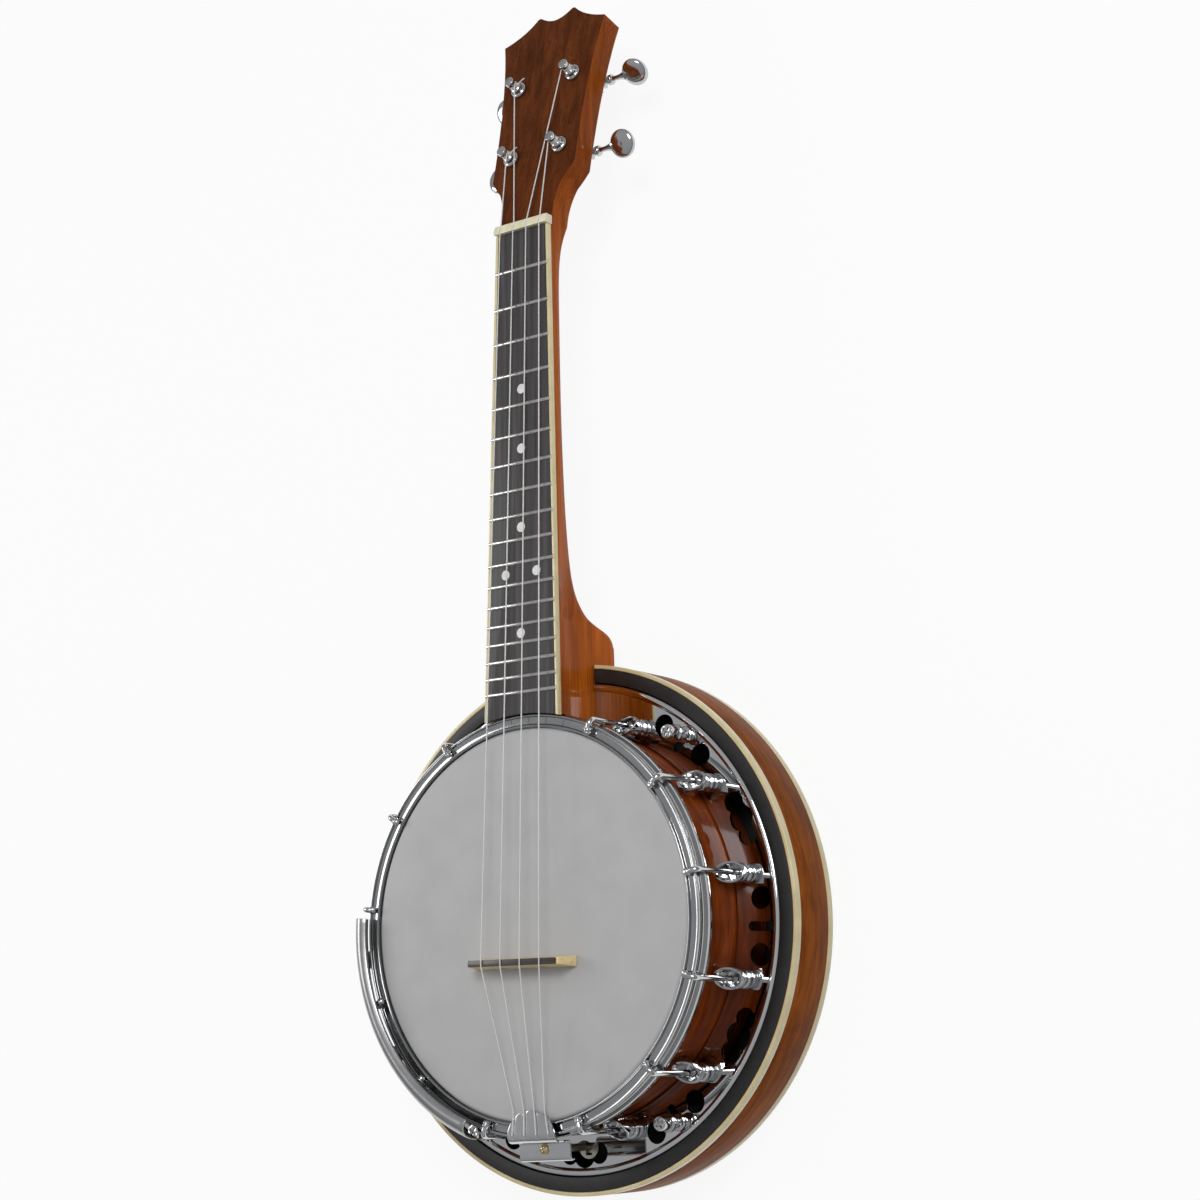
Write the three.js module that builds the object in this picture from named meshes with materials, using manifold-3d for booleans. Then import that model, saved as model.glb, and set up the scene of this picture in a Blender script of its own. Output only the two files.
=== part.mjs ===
// Banjo ukulele with an eight inch head, eighteen frets and a closed back.
// Millimetres. +Z points out through the head, +Y along the neck, and the origin lies on the pot's
// axis at the resonator's flat back, on which the instrument rests.

import * as THREE from 'three';
import { mergeVertices } from 'three/addons/utils/BufferGeometryUtils.js';
import Module from 'manifold-3d';

const wasm = await Module();
wasm.setup();

// General sizes
const seat = 0.3;                     // gap between pieces that touch
const overrun = 4;                    // how far a cutter runs past what it cuts
const weld = 0.0001;                  // vertices closer than this are one
const ringStepCount = 32;             // facets round the pot
const turnStepCount = 8;              // facets round a small turned piece
const holeStepCount = 10;             // facets round a drilled hole
const rodStepCount = 6;               // facets round a bent rod
const stringStepCount = 4;
const curveStepCount = 4;             // facets along each curve of an outline

// Pot: heights are measured down from the top of the head skin
const potDepth = 73;                  // resonator's back to the head's playing surface
const sideHookCount = 6;              // hooks on each side of the neck's line
const hookFirstAngle = 26.6;          // degrees from the neck's line to the first hook on each side
const hookStepAngle = 27.4;           // degrees from one hook to the next
const fittingAngle = 2.5;             // degrees that the fittings sit round from the neck's line

// Rim
const rimRadius = 98.5;
const rimWall = 10.5;
const rimTop = 0.8;
const rimFloorGap = 3;                // rim's foot over the resonator's floor
const skirtInset = 2.4;               // the rim's top is turned down so the head can pass it
const skirtDepth = 7.5;

// Head skin and the metal hoop bonded round it
const skinThickness = 0.5;
const crownRadius = 2.2;
const fleshHoopWidth = 3.3;
const fleshHoopHeight = 3;
const fleshHoopDrop = 3.3;

// Tension hoop
const hoopWall = 3.1;                 // from the head's hoop out to the hoop's outer face
const hoopRise = 1;
const hoopHeight = 11;
const hoopWaist = 1;                  // hollow in the hoop's outer wall
const hoopBead = 0.8;                 // how far the lower bead stands out
const hoopBeadHeight = 2.5;
const channelDepth = 1.4;
const channelLip = 1;
const channelWidth = 4.2;

// Hooks, shoes and bracket nuts
const hookRodRadius = 1.5;
const hookBend = 2.5;
const hookBall = 1.8;
const hookBaseDrop = 38.7;
const bracketNutRadius = 4.7;
const bracketNutHeight = 5.4;
const bracketNutStep = 0.8;           // bevel round the nut's upper edge
const shoeRadius = 5.2;
const shoeHeight = 13;                // at the rim's side of its slanted mouth
const shoeLipHeight = 1.7;            // at the outer side
const shoeWall = 0.9;
const shoeFloor = 1.1;
const shoeFootWidth = 7;
const shoeFootHeight = 7;

// Flange
const flangeDrop = 39.3;
const flangeThickness = 2;
const flangeWidth = 25.1;
const flangeBeadWidth = 4.2;
const flangeBeadHeight = 1.8;
const holeInset = 14.2;               // flange's inner edge to the middle of its piercings
const holeRadius = 5.6;
const holeAngle = 6.9;                // degrees from the slot to the round hole on each side
const slotLength = 14.6;
const slotWidth = 4.7;
const cloudMiddleRadius = 6.7;
const cloudSideRadius = 5.3;
const cloudAngle = 4.6;               // degrees from the middle lobe to each side lobe

// Resonator
const resonatorWall = 9.1;
const resonatorBack = 4;
const wallDrop = 37.7;
const bindingWidth = 2.7;
const frontBindingHeight = 2.2;
const backBindingHeight = 5.4;
const lugWidth = 12;
const lugDepth = 14;
const lugHeight = 10;
const lugDrop = 46;

// Resonator screws
const screwShankRadius = 1.9;
const screwShankLength = 14;
const screwHeadRadius = 3.6;
const screwHeadHeight = 6.6;
const screwCollarRadius = 4.5;
const screwCollarHeight = 2.2;
const screwNeckRadius = 2.6;
const screwNeckHeight = 6.4;
const screwWasherRadius = 4.2;
const screwWasherHeight = 0.9;

// Coordinator rod, from the heel through the pot to the tail
const rodRadius = 3;
const rodDrop = 33;
const rodInHeel = 18;
const rodNutRadius = 5;
const rodNutHeight = 3.6;
const rodNutProud = 1.2;              // rod's end past its nut

// Tailpiece
const tailPlate = 1;
const tailWidth = 31;
const tailFanWidth = 29;
const tailFanLength = 13.5;
const tailFanRise = 1.4;
const tailBend = 3.5;
const tailFanStepCount = 12;
const tailLedgeDrop = 7.4;
const tailLedgeLength = 7.4;
const tailCurl = 1.6;
const tailBoltRadius = 1.9;
const tailBoltEnd = 2.4;              // bolt's length past its bracket
const tailTabRadius = 6;
const tailTabThickness = 1.6;
const tailTabGap = 1.8;               // bracket's tab under the flange
const tailFootHeight = 12;
const tailScrewRadius = 2.6;
const tailScrewHeight = 1.3;

// Armrest
const armrestStartAngle = 84;         // degrees round from the neck, on the bass side
const armrestEndAngle = 158.5;
const armrestStepCount = 12;          // facets along the band
const armrestThickness = 1.3;
const armrestInset = 3;               // inner edge, inside the hoop's outer radius
const armrestOverhang = 7.7;          // outer edge, outside the hoop's outer radius
const armrestRise = 8.4;
const armrestFall = 5.5;
const armrestLegCount = 2;            // legs, each halfway between two hooks
const legHookCount = 3;               // hooks between the neck and the first leg
const armrestLegWidth = 9;
const armrestLegDrop = 22;
const armrestFootHeight = 8;

// Neck
const scaleLength = 381;
const boardTail = 11.1;               // last fret to the board's end at the hoop
const fretCount = 18;
const octaveFretCount = 12;           // frets that halve the string
const neckTiltAngle = 0.69;           // degrees
const boardHeight = 4.4;              // playing surface over the head, at the pot's axis
const boardThickness = 4;
const boardNutWidth = 34.6;
const boardEndWidth = 46.6;           // at the last fret
const boardBinding = 1.7;
const fretWidth = 2.2;
const fretHeight = 1;
const shaftDepth = 10;
const heelLift = 13.1;                // heel's foot over the resonator's back
const heelReach = 160;                // rim to where the heel has faded into the shaft
const nutThickness = 5;
const nutRise = 2.2;
const nutFlat = 1.7;                  // level land in front of the nut's slope
const nutFall = 1.2;                  // from the land down to the back edge
const nutSlotWidth = 1.2;
const blendReach = 30;                // length over which the shaft turns into the headstock

// Headstock
const headstockTiltAngle = 11.8;      // degrees, from the neck
const headstockThickness = 13.5;
const headstockRise = 0.6;            // face over the neck's top at the nut
const headstockLength = 132.6;
const headstockHalfWidth = 34.4;
const headstockShoulder = 4.3;        // straight sides behind the nut

// Strings and bridge
const stringRadius = 0.35;
const stringCount = 4;
const nutSpacing = 8.7;
const bridgeSpacing = 12.1;
const tailSpacing = 5.6;
const bridgeHeight = 10.6;
const bridgeCap = 1.6;
const bridgeFootLength = 63;
const bridgeTopLength = 56;
const bridgeCapLength = 54;
const bridgeBaseWidth = 5.4;
const bridgeTopWidth = 3.2;
const bridgeArchHeight = 4.2;

// Tuners
const tunerTipGap = 44.9;             // headstock's tip back to the far pair of posts
const tunerSpacing = 44.8;            // from one pair to the other
const tunerLowAcross = 16.3;
const tunerHighAcross = 18.4;
const tunerRestAngles = [35, 60, 100, 75];  // degrees that each knob is turned round as shown
const wheelToothCount = 14;
const wheelRadius = 4.2;
const wormRadius = 2;
const toothHeight = 0.4;              // above the pitch line, on wheel and worm alike
const toothDepth = 0.6;
const wheelThickness = 2.4;
const wormTurnCount = 2;
const wormStepCount = 6;              // facets along one turn of the thread
const wormShaftRadius = 1.4;
const tunerPlate = 1.1;
const tunerPlateLength = 19.6;
const tunerPlateInner = 7.2;
const tunerPlateOuter = 7.6;
const wormDrop = 7.1;                 // worm's axis behind the headstock
const earThickness = 1.5;
const earSpacing = 4.2;
const earHalfWidth = 2.9;
const postRadius = 2.7;
const postRise = 10.4;
const postWaistRadius = 2.1;
const postCapRadius = 3.1;
const postCapHeight = 2.2;
const sleeveRadius = 3.9;
const bushRadius = 4.7;
const bushHeight = 2.5;
const runningGap = 0.25;
const buttonReach = 25.3;             // button's centre from the post
const buttonLength = 15;
const buttonWidth = 15.5;
const buttonThickness = 6;
const stemCollarReach = 8.6;
const stemCollarRadius = 3;
const stemCollarWidth = 1.8;
const stemNeckRadius = 1.5;
const stemFlareRadius = 2.5;

// Tables of shares
const heelStationShares = [           // along heelReach, of the heel's depth, of the heel's section
  [-0.02, 1, 1], [0.25, 1, 1], [0.293, 0.985, 1], [0.318, 0.93, 1], [0.334, 0.82, 1],
  [0.347, 0.67, 1], [0.369, 0.51, 0.92], [0.413, 0.37, 0.78], [0.488, 0.235, 0.5],
  [0.606, 0.125, 0.25], [0.738, 0.055, 0.1], [1, 0, 0],
];
const heelSectionShares = [           // half the section, of the half width and of the depth
  [1, 0], [0.86, 0.1], [0.73, 0.22], [0.665, 0.38], [0.655, 0.58], [0.63, 0.78], [0.54, 0.92],
  [0.33, 0.985], [0, 1],
];
const blendStationShares = [          // along blendReach, of the depth added and of the squarer section
  [0, 0], [0.53, 0.36], [1, 1],
];
const blendSectionShares = [          // half the section under the nut, of the half width and the depth
  [1, 0], [1, 0.2], [1, 0.45], [0.98, 0.7], [0.93, 0.88], [0.8, 0.97], [0.6, 1], [0.3, 1], [0, 1],
];
const headstockEdgeShares = [         // curves up the right edge to the tip: control point, then end
  [[0.506, 0.109], [0.647, 0.161]], [[0.799, 0.219], [0.799, 0.292]],
  [[0.799, 0.627], [1, 0.911]], [[0.62, 0.936], [0.4, 0.992]],
  [[0.345, 1.01], [0.29, 0.998]], [[0.13, 0.969], [0, 0.969]],
];
const armrestSectionShares = [        // outer face: from inner to outer edge, and up from the fall
  [0, 0.91], [0.27, 1], [0.6, 0.91], [0.84, 0.65], [0.96, 0.29], [1, 0],
];
const flangeBeadShares = [0.35, 0.75]; // the bead's flat top, of its width
const bridgeArchShares = [0.29, 0.49]; // arch edges, of half the foot length
const toothShares = [[-0.1, 1], [0.1, 1], [0.5, 0]]; // wheel tooth, of its pitch and its height
const threadShares = [[-0.25, 0], [-0.07, 1], [0.07, 1], [0.25, 0]]; // worm thread, of its lead and height

// Materials
const finish = (color, roughness, metalness = 0) =>
  new THREE.MeshStandardMaterial({ color, roughness, metalness });
const mahogany = finish(0x8a4318, 0.3);
const mahoganyDark = finish(0x7a3a16, 0.3);
const rosewood = finish(0x2c2624, 0.6);
const ebony = finish(0x1c1a19, 0.5);
const maple = finish(0xd9b878, 0.5);
const cream = finish(0xe0d09a, 0.45);
const ivory = finish(0xe8e0c4, 0.4);
const skin = finish(0xc9c7c4, 0.7);
const nylon = finish(0xe6e6e6, 0.25);
const chrome = finish(0xd8dadc, 0.08, 1);
const steel = finish(0xa8aaad, 0.3, 1);

// Turning shapes into closed solids and back
function solidOf(geometry) {
  const bare = geometry.clone();
  bare.deleteAttribute('normal');
  bare.deleteAttribute('uv');
  const merged = mergeVertices(bare, weld);
  const position = merged.attributes.position;
  const corner = (i) => new THREE.Vector3().fromBufferAttribute(position, i);
  const faces = [];
  let volume = 0;
  for (let i = 0; i < merged.index.count; i += 3) {
    const [a, b, c] = [0, 1, 2].map((k) => merged.index.getX(i + k));
    if (a === b || b === c || c === a) continue;
    faces.push([a, b, c]);
    volume += corner(a).dot(corner(b).cross(corner(c)));
  }
  const order = volume < 0 ? faces.map(([a, b, c]) => [a, c, b]) : faces;
  return new wasm.Manifold(new wasm.Mesh({
    numProp: 3,
    vertProperties: Float32Array.from(position.array),
    triVerts: Uint32Array.from(order.flat()),
  }));
}

function geometryOf(solid) {
  const mesh = solid.getMesh();
  const geometry = new THREE.BufferGeometry();
  geometry.setAttribute('position', new THREE.BufferAttribute(mesh.vertProperties, 3));
  geometry.setIndex(new THREE.BufferAttribute(mesh.triVerts, 1));
  const flat = geometry.toNonIndexed();
  flat.computeVertexNormals();
  return flat;
}

function addPiece(parent, name, solid, material) {
  const mesh = new THREE.Mesh(geometryOf(solid), material);
  mesh.name = name;
  parent.add(mesh);
  return mesh;
}

const joined = (...solids) => solids.reduce((whole, next) => whole.add(next));
const radians = THREE.MathUtils.degToRad;
const vectors = (pairs) => pairs.map(([x, y]) => new THREE.Vector2(x, y));

// A profile of radius and height, revolved about Z; it starts and ends on the axis or closes on itself
function turned(profile, steps = ringStepCount) {
  const onAxis = profile[0][0] === 0;
  const points = vectors(onAxis ? profile : [...profile, profile[0]]);
  return new THREE.LatheGeometry(points, steps).rotateX(Math.PI / 2);
}

// An outline in X and Y, raised from one height to another
function raised(outline, low, high) {
  const shape = new THREE.Shape(vectors(outline));
  const options = { depth: high - low, bevelEnabled: false, steps: 1 };
  return new THREE.ExtrudeGeometry(shape, options).translate(0, 0, low);
}

function block(x0, x1, y0, y1, z0, z1) {
  const box = new THREE.BoxGeometry(x1 - x0, y1 - y0, z1 - z0);
  return box.translate((x0 + x1) / 2, (y0 + y1) / 2, (z0 + z1) / 2);
}

function disc(radius, low, high, steps = turnStepCount) {
  const cylinder = new THREE.CylinderGeometry(radius, radius, high - low, steps).rotateX(Math.PI / 2);
  return cylinder.translate(0, 0, (low + high) / 2);
}

// A skin over a row of rings with equal counts of points, closed by a cap at each end
function skinned(rings, outline) {
  const count = outline.length;
  const faces = [];
  for (let i = 0; i + 1 < rings.length; i += 1) {
    for (let j = 0; j < count; j += 1) {
      const [a, b] = [i * count + j, i * count + ((j + 1) % count)];
      faces.push([a, b, b + count], [a, b + count, a + count]);
    }
  }
  const last = (rings.length - 1) * count;
  const clockwise = THREE.ShapeUtils.isClockWise(outline);
  for (const [a, b, c] of THREE.ShapeUtils.triangulateShape(outline, [])) {
    const turn = outline[b].clone().sub(outline[a]).cross(outline[c].clone().sub(outline[a]));
    const [p, q] = turn > 0 !== clockwise ? [b, c] : [c, b];
    faces.push([last + a, last + p, last + q], [a, q, p]);
  }
  const geometry = new THREE.BufferGeometry();
  const numbers = rings.flat().flatMap((point) => point.toArray());
  geometry.setAttribute('position', new THREE.Float32BufferAttribute(numbers, 3));
  geometry.setIndex(faces.flat());
  return geometry;
}

const circle = (radius, sides) => Array.from({ length: sides }, (_, i) => {
  const angle = (2 * Math.PI * i) / sides;
  return new THREE.Vector2(radius * Math.cos(angle), radius * Math.sin(angle));
});

// A round bar along a row of points, its rings carried on without twist; a list of radii tapers it
function bar(points, radius, sides) {
  const outline = circle(1, sides);
  const radii = points.map((_, i) => (Array.isArray(radius) ? radius[i] : radius));
  const along = points.map((point, i) => {
    const next = points[Math.min(i + 1, points.length - 1)];
    return next.clone().sub(points[Math.max(i - 1, 0)]).normalize();
  });
  const lengthwise = Math.abs(along[0].x) > Math.SQRT1_2;
  let across = lengthwise ? new THREE.Vector3(0, 1, 0) : new THREE.Vector3(1, 0, 0);
  const rings = points.map((point, i) => {
    across = across.clone().addScaledVector(along[i], -across.dot(along[i])).normalize();
    const up = along[i].clone().cross(across);
    return outline.map(({ x, y }) => point.clone()
      .addScaledVector(across, x * radii[i]).addScaledVector(up, y * radii[i]));
  });
  return skinned(rings, outline);
}

// A row of points round a quarter or part of a circle in the plane of Y and Z
function arcPoints(y, z, radius, from, to, steps) {
  return Array.from({ length: steps + 1 }, (_, i) => {
    const angle = radians(from + ((to - from) * i) / steps);
    return [y + radius * Math.cos(angle), z + radius * Math.sin(angle)];
  });
}

// Radii carried outwards from the rim, and the bridge's place from where the last fret ends up
const skirtRadius = rimRadius - skirtInset;
const crownInner = skirtRadius + seat;
const crownOuter = crownInner + skinThickness;
const fleshOuter = crownOuter + fleshHoopWidth;
const hoopInner = fleshOuter + seat;
const hoopRadius = hoopInner + hoopWall;
const flangeInner = rimRadius + seat;
const flangeRadius = flangeInner + flangeWidth;
const holeCircle = flangeInner + holeInset;
const wallInner = flangeRadius + seat;
const resonatorRadius = wallInner + resonatorWall;
const shortened = (frets) => scaleLength * 2 ** (-frets / octaveFretCount);
const saddleOffset = shortened(fretCount) - hoopRadius - seat - boardTail;

// Frames: the whole, the neck and its headstock, and the turned ring of fittings
const whole = new THREE.Group();
whole.name = 'banjo_ukulele';
const neckFrame = new THREE.Group();
neckFrame.position.set(0, 0, potDepth + boardHeight);
neckFrame.rotation.x = -radians(neckTiltAngle);
const headFrame = new THREE.Group();
const nutFront = scaleLength - saddleOffset;
const nutBack = nutFront + seat + nutThickness;
const neckTop = -boardThickness - seat;
headFrame.position.set(0, nutBack + seat, neckTop + headstockRise);
headFrame.rotation.x = -radians(headstockTiltAngle);
const fittings = new THREE.Group();
fittings.rotation.z = radians(fittingAngle);
whole.add(neckFrame, fittings);
neckFrame.add(headFrame);
whole.updateMatrixWorld(true);
const intoNeck = neckFrame.matrixWorld.clone().invert();
const level = (drop) => potDepth - drop;

// Rim: a laminated wooden shell, turned down at the top where the head passes over it
const rimInner = rimRadius - rimWall;
const rimFoot = resonatorBack + rimFloorGap;
const rimRing = solidOf(turned([
  [rimInner, rimFoot], [rimRadius, rimFoot], [rimRadius, level(skirtDepth)],
  [skirtRadius, level(skirtDepth)], [skirtRadius, level(rimTop + crownRadius)],
  [skirtRadius - crownRadius, level(rimTop)], [rimInner, level(rimTop)],
]));

// Coordinator rod: it runs from the middle of the heel to the tail, where its nut draws it against the rim
const rodEnd = rimRadius + seat + rodNutHeight + rodNutProud;
const tailTurn = new THREE.Matrix4().makeRotationZ(radians(fittingAngle));
const rodFront = new THREE.Vector3(0, rimRadius + rodInHeel, level(rodDrop));
const rodTail = new THREE.Vector3(0, -rodEnd, level(rodDrop));
rodTail.applyMatrix4(tailTurn);
const rodAlong = rodTail.clone().sub(rodFront).normalize();
const rodPast = (point, reach) => point.clone().addScaledVector(rodAlong, reach);
const rodBore = bar([rodPast(rodFront, -seat), rodPast(rodTail, overrun)], rodRadius + seat, turnStepCount);
const rodNutEnds = [-rodNutHeight - rodNutProud, -rodNutProud].map((reach) => rodPast(rodTail, reach));
const rodNut = bar(rodNutEnds, rodNutRadius, rodStepCount);
const rodBar = bar([rodFront, rodTail], rodRadius, turnStepCount);
addPiece(whole, 'rim', rimRing.subtract(solidOf(rodBore)), mahoganyDark);
addPiece(whole, 'coordinator_rod', joined(solidOf(rodBar), solidOf(rodNut)), steel);

// Head: the coated skin over the rim's edge, with its own hoop at the foot of the skirt
const crownOut = arcPoints(crownOuter - crownRadius, -crownRadius, crownRadius, 90, 0, 2);
const crownIn = arcPoints(crownInner - crownRadius, -crownRadius, crownRadius, 0, 90, 1);
const fleshTop = -fleshHoopDrop;
const headProfile = [
  [0, 0], ...crownOut, [crownOuter, fleshTop], [fleshOuter, fleshTop],
  [fleshOuter, fleshTop - fleshHoopHeight], [crownInner, fleshTop - fleshHoopHeight],
  ...crownIn.map(([y, z]) => [y, z - skinThickness]), [0, -skinThickness],
].map(([r, z]) => [r, potDepth + z]);
addPiece(whole, 'drum_head', solidOf(turned(headProfile)), skin);

// Tension hoop: a lip that presses on the head's hoop, a channel for the hooks, a hollow wall, a bead
const hoopLipRadius = crownOuter + seat;
const lipUnder = fleshTop + seat;
const channelOuter = hoopRadius - channelLip;
const channelInner = channelOuter - channelWidth;
const hoopFloor = hoopRise - hoopHeight;
const hoopRing = solidOf(turned([
  [hoopLipRadius, lipUnder], [hoopLipRadius, hoopRise], [channelInner, hoopRise],
  [channelInner, hoopRise - channelDepth], [channelOuter, hoopRise - channelDepth],
  [channelOuter, hoopRise], [hoopRadius, hoopRise], [hoopRadius - hoopWaist, lipUnder],
  [hoopRadius - hoopWaist, (lipUnder + hoopFloor) / 2],
  [hoopRadius + hoopBead, hoopFloor + hoopBeadHeight], [hoopRadius + hoopBead, hoopFloor + hoopBead],
  [hoopRadius, hoopFloor], [hoopInner, hoopFloor], [hoopInner, lipUnder],
].map(([r, z]) => [r, potDepth + z])));
addPiece(whole, 'tension_hoop', hoopRing, chrome);

// Hooks: bent rods whose ball ends sit in the hoop's channel, each with its grooved nut drawn up below
const hookCircle = hoopRadius + hoopBead + seat + hookRodRadius;
const ballCircle = (channelInner + channelOuter) / 2;
const ballHeight = hoopRise - channelDepth + seat + hookBall;
const reachHeight = hoopRise + seat + hookRodRadius;
const hookBase = level(hookBaseDrop);
const nutTop = hookBase + bracketNutHeight;
const bracketNut = [
  [0, hookBase], [bracketNutRadius, hookBase], [bracketNutRadius, nutTop - bracketNutStep],
  [hookRodRadius + bracketNutStep * 2, nutTop], [0, nutTop],
];
const bendHeight = potDepth + reachHeight - hookBend;
const bendPoints = arcPoints(hookCircle - hookBend, bendHeight, hookBend, 0, 90, 2);
const ballPoints = [[ballCircle + hookBall, reachHeight], [ballCircle, ballHeight + hookBall / 2],
  [ballCircle - hookBall, ballHeight]].map(([r, z]) => [r, potDepth + z]);
const hookLine = [[hookCircle, hookBase], ...bendPoints, ...ballPoints];
const hookPoints = hookLine.map(([y, z]) => new THREE.Vector3(0, y, z));
const hookRadii = hookPoints.map(() => hookRodRadius);
hookRadii.splice(-2, 2, hookBall, hookBall / 2);
const hookSolid = joined(
  solidOf(bar(hookPoints, hookRadii, rodStepCount)),
  solidOf(turned(bracketNut, turnStepCount).translate(0, hookCircle, 0)),
);

// Shoes: round sockets with a slanted mouth, on a foot bolted to the rim, each with a hook through it
const shoeBase = nutTop + seat;
const shoeTop = shoeBase + shoeHeight;
const shoeMouth = shoeBase + (shoeHeight + shoeLipHeight) / 2;
const shoeSlant = shoeHeight - shoeLipHeight;
const atHook = (radius, low, high, steps) => disc(radius, low, high, steps).translate(0, hookCircle, 0);
const mouthOutline = vectors([
  [hookCircle - shoeRadius * 2, shoeMouth + shoeSlant], [hookCircle + shoeRadius * 2, shoeMouth - shoeSlant],
  [hookCircle + shoeRadius * 2, potDepth], [hookCircle - shoeRadius * 2, potDepth],
]);
const mouthRings = [-shoeRadius - overrun, shoeRadius + overrun].map((x) =>
  mouthOutline.map(({ x: y, y: z }) => new THREE.Vector3(x, y, z)));
const footLow = shoeBase + shoeFloor;
const shoeFoot = block(-shoeFootWidth / 2, shoeFootWidth / 2, rimRadius - overrun,
  hookCircle - shoeRadius / 2, footLow, footLow + shoeFootHeight);
const footTrim = disc(rimRadius + seat, rimFoot, potDepth, ringStepCount);
const shoeCutters = [
  skinned(mouthRings, mouthOutline), footTrim,
  atHook(shoeRadius - shoeWall, shoeBase + shoeFloor, shoeTop + overrun, turnStepCount),
  atHook(hookRodRadius + seat, hookBase, potDepth, rodStepCount),
].map(solidOf);
const shoeTube = atHook(shoeRadius, shoeBase, shoeTop, turnStepCount);
const shoeBlank = joined(solidOf(shoeTube), solidOf(shoeFoot));
const shoeSolid = shoeCutters.reduce((left, cutter) => left.subtract(cutter), shoeBlank);
const hookAngle = (place) => hookFirstAngle + place * hookStepAngle;
[-1, 1].forEach((side, half) => {
  for (let place = 0; place < sideHookCount; place += 1) {
    const number = String(half * sideHookCount + place + 1).padStart(2, '0');
    const angle = side * radians(hookAngle(place));
    addPiece(fittings, `hook_${number}`, hookSolid, chrome).rotation.z = angle;
    addPiece(fittings, `shoe_${number}`, shoeSolid, chrome).rotation.z = angle;
  }
});

// Neck: half the width of the board, and the section at a point along it, part half round and part shares
const lastFret = shortened(fretCount) - saddleOffset;
const widthSlope = (boardEndWidth - boardNutWidth) / (nutFront - lastFret);
const boardHalf = (along) => (boardNutWidth + widthSlope * (nutFront - along)) / 2;
const heelDepth = potDepth + boardHeight + neckTop - heelLift;
const lastPoint = heelSectionShares.length - 1;
function neckSection(along, depth, shares, blend, spare = 0) {
  const half = shares.map(([x, z], i) => {
    const angle = (Math.PI / 2) * (i / lastPoint);
    const across = THREE.MathUtils.lerp(Math.cos(angle), x, blend);
    const down = THREE.MathUtils.lerp(Math.sin(angle), z, blend);
    const width = boardHalf(along) + spare / heelSectionShares[lastPoint - 3][0];
    return new THREE.Vector2(across * width, -down * (depth + spare));
  });
  const other = half.slice(0, -1).map(({ x, y }) => new THREE.Vector2(-x, y)).reverse();
  return [...half, ...other].reverse();
}
const endDepth = headstockThickness / Math.cos(radians(headstockTiltAngle)) - headstockRise;
const neckEnd = nutBack + seat * 2;
const heelStations = heelStationShares.map(([along, deep, blend]) => [
  rimRadius + along * heelReach, THREE.MathUtils.lerp(shaftDepth, heelDepth, deep), heelSectionShares, blend,
]);
const blendStations = blendStationShares.map(([along, blend]) => {
  const depth = THREE.MathUtils.lerp(shaftDepth, endDepth, blend);
  return [neckEnd - (1 - along) * blendReach, depth, blendSectionShares, blend];
});
const neckRings = [...heelStations, ...blendStations].map((station) => neckSection(...station)
  .map(({ x, y }) => new THREE.Vector3(x, station[0], neckTop + y)));
const heelFace = neckSection(rimRadius, heelDepth, heelSectionShares, 1);
const shaft = solidOf(skinned(neckRings.reverse(), heelFace));

// Headstock: a crowned outline with waisted sides
const sideCurves = new THREE.Shape();
const headPoint = ([x, y]) => [x * headstockHalfWidth, y * headstockLength];
sideCurves.moveTo(boardNutWidth / 2, 0);
sideCurves.lineTo(boardNutWidth / 2, headstockShoulder);
for (const [control, end] of headstockEdgeShares) {
  sideCurves.quadraticCurveTo(...headPoint(control), ...headPoint(end));
}
const rightEdge = sideCurves.getPoints(curveStepCount).map(({ x, y }) => [x, y]);
const leftEdge = rightEdge.slice(0, -1).map(([x, y]) => [-x, y]).reverse();
const headstockBlank = raised([...rightEdge, ...leftEdge], -headstockThickness, 0);

// Tuners: where the posts stand, and how worm and wheel mesh behind the headstock
const tunerHighAlong = headstockLength - tunerTipGap;
const tunerLowAlong = tunerHighAlong - tunerSpacing;
const tunerPlaces = [
  { side: 1, along: tunerLowAlong, across: tunerLowAcross },
  { side: 1, along: tunerHighAlong, across: tunerHighAcross },
  { side: -1, along: tunerHighAlong, across: tunerHighAcross },
  { side: -1, along: tunerLowAlong, across: tunerLowAcross },
];
const postHole = disc(sleeveRadius + seat, -headstockThickness - overrun, overrun, holeStepCount);
const postBores = tunerPlaces.map(({ side, along, across }) =>
  solidOf(postHole.clone().translate(side * across, along, 0)));
const headstock = solidOf(headstockBlank.applyMatrix4(headFrame.matrix.clone()));
const boresInNeck = postBores.map((bore) => bore.transform(headFrame.matrix.toArray()));

// The neck's foot clears the hoop, meets the rim, and takes the coordinator rod
const hoopClear = hoopRadius + hoopBead + seat;
const heelTrims = [
  disc(hoopClear, level(hoopHeight), potDepth + overrun, ringStepCount),
  disc(rimRadius + seat, -overrun, level(hoopHeight) + overrun, ringStepCount),
  rodBore,
].map((geometry) => solidOf(geometry.clone().applyMatrix4(intoNeck)));
const neckBlank = joined(shaft, headstock);
const neckCutters = [...heelTrims, ...boresInNeck];
const neckSolid = neckCutters.reduce((left, cutter) => left.subtract(cutter), neckBlank);
addPiece(neckFrame, 'neck', neckSolid, mahogany);

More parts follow.
